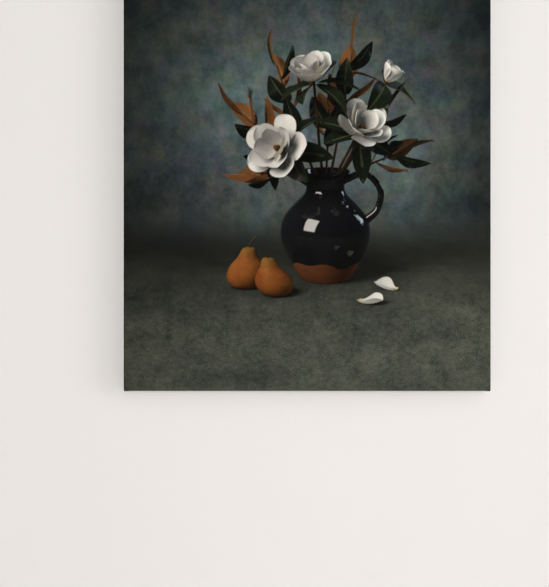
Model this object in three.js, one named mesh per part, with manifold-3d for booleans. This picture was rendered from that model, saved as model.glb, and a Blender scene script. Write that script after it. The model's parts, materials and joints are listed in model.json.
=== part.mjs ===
// A wall picture: a printed canvas wrapped round a stretcher frame of four mitred bars and a brace,
// stapled at the back, tensioned by corner keys, and hung by one toothed hanger.
// Millimetres, +Z up, +X to the viewer's right, +Y into the wall.
// The origin is the hanging point: the middle notch of the hanger, on the plane of the wall.

import * as THREE from 'three';
import { mergeVertices } from 'three/addons/utils/BufferGeometryUtils.js';
import Module from 'manifold-3d';

const wasm = await Module();
wasm.setup();

// Driving dimensions of the picture
const pictureWidth = 600;
const pictureHeight = 800;
const clothThickness = 0.6;
const gap = 0.3; // air between pieces that touch
const turnover = 20; // width of the cloth that lies on the back
const notchBelowTop = 35; // from the picture's top edge to the hanging point
const past = 1; // how far a cut runs on beyond what it cuts

// Stretcher bars
const barWidth = 40;
const barDepth = 38;
const edgeRadius = 2.5; // outer edges, front and back
const beadWidth = 7; // the raised edge that carries the cloth
const beadRise = 1.5;
const beadRounding = 3; // width of the curve on the bead's inner side
const frontSlope = 3.5; // how far the front face falls away from the bead
const backChamfer = 1; // inner edge, at the back
const tongueBack = 13; // the middle layer of each bar, measured from the back
const tongueFront = 25;

// Brace across the middle
const braceDepth = 24;
const tenonLength = 15;
const tenonHeight = 30;
const tenonBack = 7;
const tenonFront = 17;

// Corner keys
const keyLength = 30;
const keyHeadWidth = 15;
const keyTipWidth = 7;
const keyThickness = 4;
const keySunk = 16; // how much of a key is inside its bar
const railKeyDepth = 17; // from the back of the bars to the key
const stileKeyDepth = 27;

// Fittings on the back
const bumperRadius = 5;
const bumperThickness = 3;
const bumperTaper = 0.6; // how much narrower the face is that meets the wall
const bumperFromEnd = 75;
const bareWoodMiddle = 30; // from a bar's outer edge to the middle of its uncovered strip
const hangerLength = 46;
const hangerHeight = 12;
const hangerSheet = 1;
const hangerArch = 1.2;
const hangerFoot = 9; // flat length at each end, which carries a screw
const hangerRamp = 3; // from a foot up to the arch
const toothCount = 8;
const toothHeight = 2.4;
const toothMargin = 1; // plain length at each end of the row of teeth
const toothBlunting = 0.5; // sharp teeth would reach this much further
const screwShankRadius = 1.1;
const screwHeadRadius = 2.4;
const screwHeadHeight = 0.9;
const screwHeadRim = 0.36; // height of the head's straight rim
const screwHeadTop = 1.44; // radius of the head's flat top
const screwPoint = 2;
const screwLength = 12;

// Staples
const crownLength = 10;
const wireWidth = 0.8;
const wireHeight = 0.5;
const legLength = 6.5;
const stapleInset = 9.5; // from a bar's outer edge to the staple
const foldBase = 40; // side of the tucked cloth at each corner
const foldShort = 1; // from the fold's tip to the cut edge of the cloth
const foldFromCorner = 0.5;
const railStaples = 7;
const stileStaples = 10;
const railStapleMargin = 62;
const stileStapleMargin = 45;

// Worked out from the sizes above
const wrap = clothThickness + gap;
const frameWidth = pictureWidth - 2 * wrap;
const frameHeight = pictureHeight - 2 * wrap;
const barsBack = -bumperThickness;
const barsFront = barsBack - barDepth;
const clothBack = barsBack + wrap;
const clothFront = barsFront - wrap;
const mitreInset = (gap / 2) * Math.SQRT2;

const printMaterial = new THREE.MeshStandardMaterial({ color: 0x4a504c, roughness: 0.75 });
const pineMaterial = new THREE.MeshStandardMaterial({ color: 0xdcbd8d, roughness: 0.7 });
const beechMaterial = new THREE.MeshStandardMaterial({ color: 0xc89b66, roughness: 0.6 });
const zincMaterial = new THREE.MeshStandardMaterial({ color: 0xb9bcc0, roughness: 0.35, metalness: 1 });
const rubberMaterial = new THREE.MeshStandardMaterial({ color: 0x2b2b2c, roughness: 0.9 });

// Solids and meshes

function solidOf(geometry) {
  const bare = geometry.clone();
  bare.deleteAttribute('normal');
  bare.deleteAttribute('uv');
  const merged = mergeVertices(bare, 1e-4);
  const { position } = merged.attributes;
  return new wasm.Manifold(new wasm.Mesh({
    numProp: 3,
    vertProperties: position.array,
    triVerts: new Uint32Array(merged.index.array),
  }));
}

function geometryOf(solid) {
  const found = solid.getMesh();
  const geometry = new THREE.BufferGeometry();
  geometry.setAttribute('position', new THREE.BufferAttribute(found.vertProperties, 3));
  geometry.setIndex(new THREE.BufferAttribute(found.triVerts, 1));
  const faceted = geometry.toNonIndexed();
  faceted.computeVertexNormals();
  return faceted;
}

function namedMesh(name, geometry, material) {
  const mesh = new THREE.Mesh(geometry, material);
  mesh.name = name;
  return mesh;
}

// A box between two corners.
function boxGeometry([x0, y0, z0], [x1, y1, z1]) {
  const geometry = new THREE.BoxGeometry(x1 - x0, y1 - y0, z1 - z0);
  geometry.translate((x0 + x1) / 2, (y0 + y1) / 2, (z0 + z1) / 2);
  return geometry;
}

// A plate: an outline in x and z, from depth y0 to y1.
function plateGeometry(outline, y0, y1) {
  const shape = new THREE.Shape(outline.map(([x, z]) => new THREE.Vector2(x, -z)));
  const geometry = new THREE.ExtrudeGeometry(shape, { depth: y1 - y0, bevelEnabled: false });
  geometry.rotateX(-Math.PI / 2); // the outline's y becomes -z, and the depth becomes y
  geometry.translate(0, y0, 0);
  return geometry;
}

// Each side of the frame has its own group: x runs along the bar, z points inwards from the bar's
// outer edge, and y is still the depth.
const sides = {
  bottom: { turn: 0, half: frameHeight / 2, length: frameWidth, rail: true },
  left: { turn: Math.PI / 2, half: frameWidth / 2, length: frameHeight, rail: false },
  top: { turn: Math.PI, half: frameHeight / 2, length: frameWidth, rail: true },
  right: { turn: -Math.PI / 2, half: frameWidth / 2, length: frameHeight, rail: false },
};
for (const [name, side] of Object.entries(sides)) {
  side.name = name;
  side.group = new THREE.Group();
  side.group.rotation.y = side.turn;
  side.group.position.set(-Math.sin(side.turn) * side.half, 0, -Math.cos(side.turn) * side.half);
  side.group.updateMatrix();
}

// Stretcher bars

// The moulding: raised bead at the outer edge, front face falling away so that the cloth clears it.
function barMoulding(length) {
  const shape = new THREE.Shape();
  const front = -barDepth;
  shape.moveTo(edgeRadius, 0);
  shape.lineTo(barWidth - backChamfer, 0);
  shape.lineTo(barWidth, -backChamfer);
  shape.lineTo(barWidth, front + beadRise + frontSlope);
  shape.lineTo(beadWidth, front + beadRise);
  shape.quadraticCurveTo(beadWidth - beadRounding / 3, front, beadWidth - beadRounding, front);
  shape.lineTo(edgeRadius, front);
  shape.absarc(edgeRadius, front + edgeRadius, edgeRadius, -Math.PI / 2, -Math.PI, true);
  shape.lineTo(0, -edgeRadius);
  shape.absarc(edgeRadius, -edgeRadius, edgeRadius, Math.PI, Math.PI / 2, true);
  const geometry = new THREE.ExtrudeGeometry(shape, {
    depth: length, bevelEnabled: false, curveSegments: 4,
  });
  geometry.translate(0, 0, -length / 2);
  geometry.rotateY(-Math.PI / 2);
  geometry.translate(0, barsBack, 0);
  return geometry;
}

function mitredOutline(length) {
  const half = length / 2 - mitreInset;
  return [[-half, 0], [half, 0], [half - barWidth, barWidth], [barWidth - half, barWidth]];
}

function squareOutline(halfLength) {
  const inner = barWidth + past;
  return [[-halfLength, -past], [halfLength, -past], [halfLength, inner], [-halfLength, inner]];
}

// A rail carries a square tongue at each end, and a stile has the open slot that takes it.
function barBlank({ length, rail }) {
  const moulding = solidOf(barMoulding(length));
  const mitred = solidOf(plateGeometry(mitredOutline(length), barsFront - past, barsBack + past));
  const tongueFrontY = barsBack - tongueFront;
  const tongueBackY = barsBack - tongueBack;
  if (rail) {
    const tongues = solidOf(plateGeometry(squareOutline(length / 2 + past), tongueFrontY, tongueBackY));
    return moulding.intersect(mitred.add(tongues));
  }
  const shoulder = length / 2 - barWidth - gap;
  let blank = moulding.intersect(mitred);
  for (const end of [-1, 1]) {
    const slot = boxGeometry(
      [Math.min(end * shoulder, end * length), tongueFrontY - gap, -past],
      [Math.max(end * shoulder, end * length), tongueBackY + gap, barWidth + past],
    );
    blank = blank.subtract(solidOf(slot));
  }
  return blank;
}

// Corner keys: a flat wedge at each end of each bar, its straight edge along the neighbouring bar.
function keyGeometry({ length, rail }, end, grow) {
  const inner = length / 2 - barWidth - gap + grow;
  const head = barWidth + keyLength - keySunk + (grow ? past : 0);
  const tip = barWidth - keySunk - grow;
  const outline = [
    [inner, tip], [inner, head],
    [inner - keyHeadWidth - 2 * grow, head], [inner - keyTipWidth - 2 * grow, tip],
  ].map(([x, z]) => [end * x, z]);
  const middle = barsBack - (rail ? railKeyDepth : stileKeyDepth);
  return plateGeometry(outline, middle - keyThickness / 2 - grow, middle + keyThickness / 2 + grow);
}

// Staples: where they stand along a side, and whether they hold a folded corner.
function staplePlaces({ length, rail }) {
  const count = rail ? railStaples : stileStaples;
  const reach = length / 2 - (rail ? railStapleMargin : stileStapleMargin);
  const places = [];
  for (let i = 0; i < count; i += 1) {
    places.push({ along: -reach + (2 * reach * i) / (count - 1), onFold: false });
  }
  if (rail) {
    const corner = length / 2 - foldBase / 2;
    places.unshift({ along: -corner, onFold: true });
    places.push({ along: corner, onFold: true });
  }
  return places;
}

function stapleGeometry(onFold) {
  const under = clothBack + gap + (onFold ? clothThickness : 0);
  const half = crownLength / 2;
  const top = under + wireHeight;
  const foot = under - legLength;
  const leg = wireHeight;
  const shape = new THREE.Shape([
    new THREE.Vector2(-half, foot), new THREE.Vector2(-half + leg, foot),
    new THREE.Vector2(-half + leg, under), new THREE.Vector2(half - leg, under),
    new THREE.Vector2(half - leg, foot), new THREE.Vector2(half, foot),
    new THREE.Vector2(half, top), new THREE.Vector2(-half, top),
  ]);
  const geometry = new THREE.ExtrudeGeometry(shape, { depth: wireWidth, bevelEnabled: false });
  geometry.translate(0, 0, -wireWidth / 2);
  return geometry;
}

// The two holes that a staple's legs make in cloth and wood.
function legHoles({ along, onFold }) {
  const top = clothBack + clothThickness + gap;
  const foot = clothBack + (onFold ? clothThickness : 0) - legLength - gap;
  return [-1, 1].map((end) => {
    const middle = along + end * (crownLength - wireHeight) / 2;
    const reach = wireHeight / 2 + gap;
    const breadth = wireWidth / 2 + gap;
    return solidOf(boxGeometry(
      [middle - reach, foot, stapleInset - breadth],
      [middle + reach, top, stapleInset + breadth],
    ));
  });
}

// Hanger: a bent strip with a toothed lower edge, on the uncovered wood of the top bar.
const hangerNotch = notchBelowTop - wrap; // from the top bar's outer edge, inwards
const hangerScrewAt = hangerLength / 2 - hangerFoot / 2;
const hangerScrewInset = hangerNotch + toothHeight - hangerHeight / 2;

function hangerSolid() {
  const foot = barsBack + gap;
  const half = hangerLength / 2;
  const flatEnd = half - hangerFoot;
  const rampEnd = flatEnd - hangerRamp;
  const strip = new THREE.Shape([
    [-half, foot], [-flatEnd, foot], [-rampEnd, foot + hangerArch], [rampEnd, foot + hangerArch],
    [flatEnd, foot], [half, foot], [half, foot + hangerSheet], [flatEnd, foot + hangerSheet],
    [rampEnd, foot + hangerArch + hangerSheet], [-rampEnd, foot + hangerArch + hangerSheet],
    [-flatEnd, foot + hangerSheet], [-half, foot + hangerSheet],
  ].map(([x, y]) => new THREE.Vector2(x, y)));
  const geometry = new THREE.ExtrudeGeometry(strip, { depth: hangerHeight, bevelEnabled: false });
  geometry.translate(0, 0, hangerNotch + toothHeight - hangerHeight);
  let hanger = solidOf(geometry);
  const pitch = (2 * rampEnd - 2 * toothMargin) / toothCount;
  const mouth = hangerNotch + toothHeight + toothBlunting;
  for (let i = 0; i <= toothCount; i += 1) {
    const middle = (i - toothCount / 2) * pitch;
    const notch = [[middle, hangerNotch], [middle + pitch / 2, mouth], [middle - pitch / 2, mouth]];
    hanger = hanger.subtract(solidOf(plateGeometry(notch, barsBack - past, past)));
  }
  for (const end of [-1, 1]) {
    hanger = hanger.subtract(solidOf(screwHoleGeometry(end, hangerSheet + past, past)));
  }
  return hanger;
}

function screwGeometry() {
  const under = barsBack + gap + hangerSheet + gap;
  const top = under + screwHeadHeight;
  const tip = under - screwLength;
  const profile = [
    [0, tip], [screwShankRadius, tip + screwPoint], [screwShankRadius, under],
    [screwHeadRadius, under], [screwHeadRadius, under + screwHeadRim], [screwHeadTop, top], [0, top],
  ].map(([r, y]) => new THREE.Vector2(r, y));
  return new THREE.LatheGeometry(profile, 20);
}

// A hole for a screw's shank, from above the bar's back down to a depth in the wood.
function screwHoleGeometry(end, above, depth) {
  const radius = screwShankRadius + gap;
  const hole = new THREE.CylinderGeometry(radius, radius, above + depth, 16);
  hole.translate(end * hangerScrewAt, barsBack + (above - depth) / 2, hangerScrewInset);
  return hole;
}

// Bars with everything that is cut into them, and the small pieces that go with each side
const frame = new THREE.Group();
frame.position.z = notchBelowTop - pictureHeight / 2;

for (const side of Object.values(sides)) {
  let bar = barBlank(side);
  for (const end of [-1, 1]) {
    bar = bar.subtract(solidOf(keyGeometry(side, end, gap)));
    const number = end < 0 ? 1 : 2;
    side.group.add(namedMesh(`key_${side.name}_${number}`, keyGeometry(side, end, 0), beechMaterial));
  }
  const places = staplePlaces(side);
  side.legs = places.flatMap(legHoles);
  for (const leg of side.legs) bar = bar.subtract(leg);
  places.forEach(({ along, onFold }, i) => {
    const staple = namedMesh(`staple_${side.name}_${i + 1}`, stapleGeometry(onFold), zincMaterial);
    staple.position.set(along, 0, stapleInset);
    side.group.add(staple);
  });
  if (side.name === 'top') {
    for (const end of [-1, 1]) bar = bar.subtract(solidOf(screwHoleGeometry(end, past, screwLength)));
  }
  if (!side.rail) {
    const mortise = boxGeometry(
      [-tenonHeight / 2 - gap, barsBack - tenonFront - gap, barWidth - tenonLength - gap],
      [tenonHeight / 2 + gap, barsBack - tenonBack + gap, barWidth + past],
    );
    bar = bar.subtract(solidOf(mortise));
    for (const end of [-1, 1]) {
      const thickness = bumperThickness - gap;
      const disc = new THREE.CylinderGeometry(bumperRadius - bumperTaper, bumperRadius, thickness, 24);
      const bumper = namedMesh(`bumper_${side.name}_${end < 0 ? 1 : 2}`, disc, rubberMaterial);
      bumper.position.set(end * (side.length / 2 - bumperFromEnd), -thickness / 2, bareWoodMiddle);
      side.group.add(bumper);
    }
  }
  side.group.add(namedMesh(`bar_${side.name}`, geometryOf(bar), pineMaterial));
  frame.add(side.group);
}

// Brace: flush with the back of the bars, and thinner, so that the cloth clears it
const braceHalf = frameWidth / 2 - barWidth - gap;
const braceBody = solidOf(boxGeometry(
  [-braceHalf, barsBack - braceDepth, -barWidth / 2],
  [braceHalf, barsBack, barWidth / 2],
));
const tenons = solidOf(boxGeometry(
  [-braceHalf - tenonLength, barsBack - tenonFront, -tenonHeight / 2],
  [braceHalf + tenonLength, barsBack - tenonBack, tenonHeight / 2],
));
frame.add(namedMesh('brace', geometryOf(braceBody.add(tenons)), pineMaterial));

// Hanger and its screws
const { top } = sides;
top.group.add(namedMesh('hanger', geometryOf(hangerSolid()), zincMaterial));
for (const end of [-1, 1]) {
  const screw = namedMesh(`hanger_screw_${end < 0 ? 1 : 2}`, screwGeometry(), zincMaterial);
  screw.position.set(end * hangerScrewAt, 0, hangerScrewInset);
  top.group.add(screw);
}

// Canvas: a shallow tray of cloth, rounded over the bars' edges, open at the back
function clothBlock(inset) {
  const radius = edgeRadius + wrap - inset;
  const width = pictureWidth - 2 * inset - 2 * radius;
  const height = pictureHeight - 2 * inset - 2 * radius;
  const shape = new THREE.Shape([
    new THREE.Vector2(-width / 2, -height / 2), new THREE.Vector2(width / 2, -height / 2),
    new THREE.Vector2(width / 2, height / 2), new THREE.Vector2(-width / 2, height / 2),
  ]);
  const depth = clothBack - clothFront - 2 * inset;
  const geometry = new THREE.ExtrudeGeometry(shape, {
    depth: depth - 2 * radius, bevelEnabled: true,
    bevelSize: radius, bevelThickness: radius, bevelSegments: 4,
  });
  geometry.translate(0, 0, radius);
  geometry.rotateX(-Math.PI / 2);
  geometry.translate(0, clothFront + inset, 0);
  return solidOf(geometry);
}

// The tucked cloth at a corner: a triangle on the back and one on the side of the rail.
function foldSolids(end) {
  const corner = end * (frameWidth / 2 + wrap);
  const inward = -end * foldBase;
  const sunk = clothThickness / 2;
  const onBack = plateGeometry([
    [corner - end * edgeRadius, -wrap + edgeRadius], [corner + inward, -wrap + edgeRadius],
    [corner + inward / 2, turnover - wrap - foldShort],
  ], clothBack - sunk, clothBack + clothThickness);
  const outline = new THREE.Shape([
    [corner - end * foldFromCorner, clothFront + edgeRadius + wrap],
    [corner - end * foldFromCorner, clothBack - edgeRadius],
    [corner + inward, clothBack - edgeRadius],
  ].map(([x, y]) => new THREE.Vector2(x, y)));
  const onSide = new THREE.ExtrudeGeometry(outline, { depth: clothThickness + sunk, bevelEnabled: false });
  onSide.translate(0, 0, -wrap - clothThickness);
  return [solidOf(onBack), solidOf(onSide)];
}

const windowOutline = [
  [-pictureWidth / 2 + turnover, -pictureHeight / 2 + turnover],
  [pictureWidth / 2 - turnover, -pictureHeight / 2 + turnover],
  [pictureWidth / 2 - turnover, pictureHeight / 2 - turnover],
  [-pictureWidth / 2 + turnover, pictureHeight / 2 - turnover],
];
let canvas = clothBlock(0);
for (const side of [sides.top, sides.bottom]) {
  for (const fold of [-1, 1].flatMap(foldSolids)) {
    canvas = canvas.add(fold.transform(side.group.matrix.elements));
  }
}
canvas = canvas
  .subtract(clothBlock(clothThickness))
  .subtract(solidOf(plateGeometry(windowOutline, clothBack - 2 * past, clothBack + 2 * past)));
for (const side of Object.values(sides)) {
  for (const leg of side.legs) canvas = canvas.subtract(leg.transform(side.group.matrix.elements));
}
frame.add(namedMesh('canvas', geometryOf(canvas), printMaterial));

const picture = new THREE.Group();
picture.add(frame);

export default picture;
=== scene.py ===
# A stretched canvas picture on a pale wall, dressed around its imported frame: cloth printed with a still
# life, pine stretcher bars, keys, staples and a toothed hanger.
# Metres, +X to the viewer's right, +Y into the wall, +Z up. The origin is the hanging point.
import json
import math
import random

import bmesh
import bpy
import numpy as np
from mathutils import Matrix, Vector, noise
from mathutils.bvhtree import BVHTree

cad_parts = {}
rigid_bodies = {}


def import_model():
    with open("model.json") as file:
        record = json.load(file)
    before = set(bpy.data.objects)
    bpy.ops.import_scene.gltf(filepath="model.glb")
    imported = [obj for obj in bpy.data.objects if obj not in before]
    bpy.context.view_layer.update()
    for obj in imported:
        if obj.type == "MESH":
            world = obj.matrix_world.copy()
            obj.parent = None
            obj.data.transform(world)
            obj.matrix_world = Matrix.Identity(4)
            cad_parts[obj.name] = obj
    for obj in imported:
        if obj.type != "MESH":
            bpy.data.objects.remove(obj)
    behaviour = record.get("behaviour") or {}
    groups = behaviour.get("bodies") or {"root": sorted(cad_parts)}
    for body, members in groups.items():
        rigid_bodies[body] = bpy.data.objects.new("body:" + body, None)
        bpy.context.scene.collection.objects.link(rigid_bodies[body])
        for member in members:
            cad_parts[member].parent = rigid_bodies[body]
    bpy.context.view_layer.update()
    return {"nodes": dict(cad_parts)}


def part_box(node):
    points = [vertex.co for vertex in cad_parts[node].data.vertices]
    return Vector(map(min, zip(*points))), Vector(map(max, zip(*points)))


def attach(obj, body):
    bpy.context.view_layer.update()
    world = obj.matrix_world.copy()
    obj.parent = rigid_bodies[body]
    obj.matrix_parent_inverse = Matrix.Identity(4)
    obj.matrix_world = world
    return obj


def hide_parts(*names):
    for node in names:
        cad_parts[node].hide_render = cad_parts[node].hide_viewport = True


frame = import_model()
mm = 0.001

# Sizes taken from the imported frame
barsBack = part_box("bar_top")[1].y
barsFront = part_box("bar_top")[0].y
wrap = 0.9 * mm  # from the wood to the outside of the cloth
pictureLeft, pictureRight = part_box("bar_left")[0].x - wrap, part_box("bar_right")[1].x + wrap
pictureBottom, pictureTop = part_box("bar_bottom")[0].z - wrap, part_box("bar_top")[1].z + wrap
halfWidth, halfHeight = (pictureRight - pictureLeft) / 2, (pictureTop - pictureBottom) / 2
middleHeight = (pictureTop + pictureBottom) / 2
clothFront, clothBack = barsFront - wrap, barsBack + wrap

# Camera: square on to the wall, with the picture where the photograph has it
photo = {
    "width": 549,  # pixels
    "height": 587,
    "pictureLeft": 123.5,
    "pictureRight": 490.9,
    "pictureBottom": 391.0,
    "distance": 2.5,  # metres from the front of the picture
    "sensor": 36.0,  # millimetres, along the photograph's longer side
}


def addCamera():
    perPixel = 2 * halfWidth / (photo["pictureRight"] - photo["pictureLeft"])
    data = bpy.data.cameras.new("camera")
    data.sensor_width = photo["sensor"]
    data.lens = photo["sensor"] * photo["distance"] / (photo["height"] * perPixel)
    camera = bpy.data.objects.new("camera", data)
    bpy.context.scene.collection.objects.link(camera)
    camera.location = (
        pictureLeft + (photo["width"] / 2 - photo["pictureLeft"]) * perPixel,
        clothFront - photo["distance"],
        pictureBottom + (photo["pictureBottom"] - photo["height"] / 2) * perPixel,
    )
    camera.rotation_euler = (math.pi / 2, 0, 0)
    bpy.context.scene.camera = camera


addCamera()
print("camera placed")


# Helpers for colours, nodes and meshes
def hexColour(code):
    values = [int(code[i:i + 2], 16) / 255 for i in (1, 3, 5)]
    return tuple(v / 12.92 if v <= 0.04045 else ((v + 0.055) / 1.055) ** 2.4 for v in values)


def setInputs(tree, node, inputs):
    # Each value is a plain one, a colour's code, a socket, or a node whose first output is meant
    for key, value in inputs.items():
        if isinstance(value, bpy.types.Node):
            value = value.outputs[0]
        if isinstance(value, bpy.types.NodeSocket):
            tree.links.new(value, node.inputs[key])
        elif isinstance(value, str) and value.startswith("#"):
            node.inputs[key].default_value = (*hexColour(value), 1.0)
        else:
            node.inputs[key].default_value = value


def addNode(tree, kind, inputs=None, **settings):
    node = tree.nodes.new(kind)
    for name, value in settings.items():
        setattr(node, name, value)
    setInputs(tree, node, inputs or {})
    return node


def weightedSum(tree, kind, start, *parts):
    # The start, and each part times its share
    for part, share in parts:
        start = addNode(tree, kind, {0: part, 1: share, 2: start}, operation="MULTIPLY_ADD")
    return start


def newMaterial(name, surface):
    material = bpy.data.materials.new(name)
    material.use_nodes = True
    shader = material.node_tree.nodes["Principled BSDF"]
    setInputs(material.node_tree, shader, surface)
    return material, material.node_tree, shader


def addObject(name, mesh, *materials):
    obj = bpy.data.objects.new(name, mesh)
    bpy.context.scene.collection.objects.link(obj)
    for material in materials:
        obj.data.materials.append(material)
    return obj


def newMesh(name, points, faces, smooth=True):
    mesh = bpy.data.meshes.new(name)
    mesh.from_pydata(np.asarray(points, float).tolist(), [], faces)
    mesh.polygons.foreach_set("use_smooth", [smooth] * len(mesh.polygons))
    mesh.update()
    return mesh


def smoothStep(low, high, x):
    t = np.clip((x - low) / (high - low), 0, 1)
    return t * t * (3 - 2 * t)


def blend(one, other, share):
    # Between two points, or between the colours of two codes
    one, other = (hexColour(end) if isinstance(end, str) else end for end in (one, other))
    share = np.asarray(share)[..., None]
    return np.asarray(one) * (1 - share) + np.asarray(other) * share


def unit(vectors):
    vectors = np.asarray(vectors, float)
    return vectors / np.maximum(np.linalg.norm(vectors, axis=-1, keepdims=True), 1e-9)


def dot(one, other):
    return (one * other).sum(-1)


def cloudy(points, detail):
    return np.array([noise.fractal(point, 0.9, 2.1, detail) for point in points.tolist()])


def cloudyPlane(x, y, scale, start, detail):
    return cloudy(np.stack([x, y, 0 * x], 1) * (*scale, 1) + start, detail)


# The print: a jug of magnolia with two pears on a table, in front of a painted backdrop. It is worked out
# here from small models of its own, lit and seen as a set in a studio would be, and the cloth carries
# the result as a colour at each of its corners. Sizes are the set's own, in metres.
stillLife = {
    "seed": 11,
    "eye": (0.0, -2.3, 0.60),
    "aim": (0.0, 0.0, 0.235),
    "aimHeight": 0.335,  # where the aim falls, above the print's bottom edge
    "enlarge": 0.66,  # printed size over the set's own size, at the jug
    "jugAt": (0.045, 0.0),
    "jugHeight": 0.27,
    "glazeEdge": 0.050,  # height of the bare clay foot
    "backdropAt": 1.0,
    "clearance": 0.0015,  # how far off a surface the rays towards the lamps start
}
lamps = {
    "key": {"at": (-1.25, -1.35, 1.35), "aim": (0, 0, 0.15), "wide": 1.2, "high": 1.5, "grid": (4, 5)},
    "rim": {"at": (1.15, 0.55, 0.85), "aim": (0, 0, 0.2), "wide": 0.35, "high": 1.0, "grid": (2, 4)},
}
# From the jug's mouth: where each blossom sits, where it faces, its size and how far it is open
blossoms = [
    ((-0.110, -0.070, 0.075), (-0.45, -0.80, 0.35), 0.080, 1.02),
    ((0.080, -0.070, 0.120), (0.34, -0.70, 0.62), 0.072, 0.86),
    ((-0.030, -0.030, 0.240), (-0.20, -0.45, 0.87), 0.070, 0.62),
    ((0.150, 0.010, 0.235), (0.50, -0.20, 0.82), 0.046, 0.22),
]
# From the jug's mouth: the tip of each spray, and how many leaves it bears
sprays = [
    ((-0.200, 0.010, 0.150), 7),
    ((-0.120, 0.030, 0.270), 7),
    ((0.065, 0.030, 0.300), 7),
    ((0.190, 0.000, 0.060), 6),
    ((-0.170, -0.020, 0.010), 5),
    ((0.010, 0.050, 0.170), 7),
    ((0.140, 0.040, 0.140), 7),
]
# Between which sizes, in metres, and bends, in radians, each leaf is drawn, and how far it strays
leaves = {
    "underBlossom": {"stray": 0.5, "length": (0.085, 0.12), "width": (0.044, 0.056), "droop": (0.1, 0.9)},
    "onSpray": {"stray": 0.35, "length": (0.08, 0.115), "width": (0.040, 0.052), "droop": (0.0, 0.8)},
    "fold": (0.15, 0.5),
}
# A blossom's petals, from the inner round out: how far it opens, how many it has and how long they are
petalRounds = ((0.34, 3, 0.86), (0.62, 4, 0.97), (1.0, 5, 1.08))
fallenPetals = ((0.115, -0.215, -0.5), (0.215, -0.120, 2.5))  # place on the table, and turn
models = []  # each has points, triangles, a paint, two surface coordinates a point, and a tint


def smoothPath(controls, count):
    # A Catmull-Rom line through the control points
    p = np.array(controls, float)
    p = np.vstack([2 * p[0] - p[1], p, 2 * p[-1] - p[-2]])
    t = np.linspace(0, len(p) - 3 - 1e-6, count)
    i = t.astype(int)
    f = (t - i)[:, None]
    a, b, c, d = p[i], p[i + 1], p[i + 2], p[i + 3]
    return 0.5 * (2 * b + (c - a) * f + (2 * a - 5 * b + 4 * c - d) * f**2 + (3 * b - a - 3 * c + d) * f**3)


def addGrid(points, paint, st, closed=False, tint=0.0):
    rows, columns = points.shape[:2]
    i, j = np.meshgrid(np.arange(rows - 1), np.arange(columns if closed else columns - 1), indexing="ij")
    a, b = i * columns + j, i * columns + (j + 1) % columns
    c, d = a + columns, b + columns
    halves = [np.stack(corners, -1).reshape(-1, 3) for corners in ((a, b, d), (a, d, c))]
    models.append({"points": points.reshape(-1, 3), "triangles": np.concatenate(halves),
                   "paint": paint, "st": st.reshape(-1, 2), "tint": tint})


def surfaceGrid(s, t):
    return np.stack(np.meshgrid(s, t, indexing="ij"), -1)


def addTurned(profile, centre, paint, sides, rows, lean=(0, 0), swell=None):
    line = smoothPath(profile, rows)
    angle = np.linspace(0, 2 * math.pi, sides, endpoint=False)
    radius, height = line[:, :1], np.repeat(line[:, 1:], sides, 1)
    if swell:
        radius = radius * (1 + swell(angle[None, :], height))
    x = radius * np.cos(angle) + centre[0] + lean[0] * height
    y = radius * np.sin(angle) + centre[1] + lean[1] * height
    addGrid(np.stack([x, y, height], -1), paint, surfaceGrid(np.linspace(0, 1, rows), angle), closed=True)


def addTube(path, radii, paint, sides=8):
    path = np.asarray(path, float)
    radii = np.interp(np.linspace(0, 1, len(path)), np.linspace(0, 1, len(radii)), radii)
    angle = np.linspace(0, 2 * math.pi, sides, endpoint=False)[:, None]
    across = np.array((0.31, 0.87, 0.38))
    rings = []
    for point, along, radius in zip(path, unit(np.gradient(path, axis=0)), radii):
        across = unit(across - along * (across @ along))
        rings.append(point + radius * (np.cos(angle) * across + np.sin(angle) * np.cross(along, across)))
    addGrid(np.array(rings), paint, surfaceGrid(np.linspace(0, 1, len(path)), angle[:, 0]), closed=True)


def addBlade(root, start, side, lift, turn, half, rise, length, paint, st, tint):
    # A leaf or petal: a line that turns from start towards lift, with points to each side of it
    steps = length * np.diff(st[:, :1, 0], axis=0, prepend=st[:1, :1, 0])
    line = root + np.cumsum(steps * (np.outer(np.cos(turn), start) + np.outer(np.sin(turn), lift)), axis=0)
    up = np.outer(np.cos(turn), lift) - np.outer(np.sin(turn), start)
    points = line[:, None] + side * (half * st[..., 1])[..., None] + up[:, None] * (rise * half)[..., None]
    addGrid(points, paint, st, tint=tint)


def addLeaf(root, heading, side, sort, chance):
    side = side + leaves[sort]["stray"] * np.array([chance.uniform(-1, 1) for _ in range(3)])
    length, width, droop = (chance.uniform(*leaves[sort][size]) for size in ("length", "width", "droop"))
    fold = chance.uniform(*leaves["fold"])
    rows = 0.5 - 0.5 * np.cos(np.linspace(0, math.pi, 20))  # closer at its ends
    st = surfaceGrid(rows, np.linspace(-1, 1, 13))
    s, t = st[:, :1, 0], st[..., 1]
    heading = unit(heading)
    side = unit(side - heading * (side @ heading))
    half = width / 2 * np.clip(np.sin(math.pi * s**0.82), 0, 1) ** 0.85 + 0.0012
    ripple = 0.06 * np.sin(9 * s + chance.uniform(0, 6)) * t**2
    rise = math.sin(fold) * 0.9 * np.abs(t) + ripple
    addBlade(np.asarray(root), heading, side, np.cross(side, heading), -droop * s[:, 0], half, rise,
             length, "leaf", st, chance.uniform(-1, 1))


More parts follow.
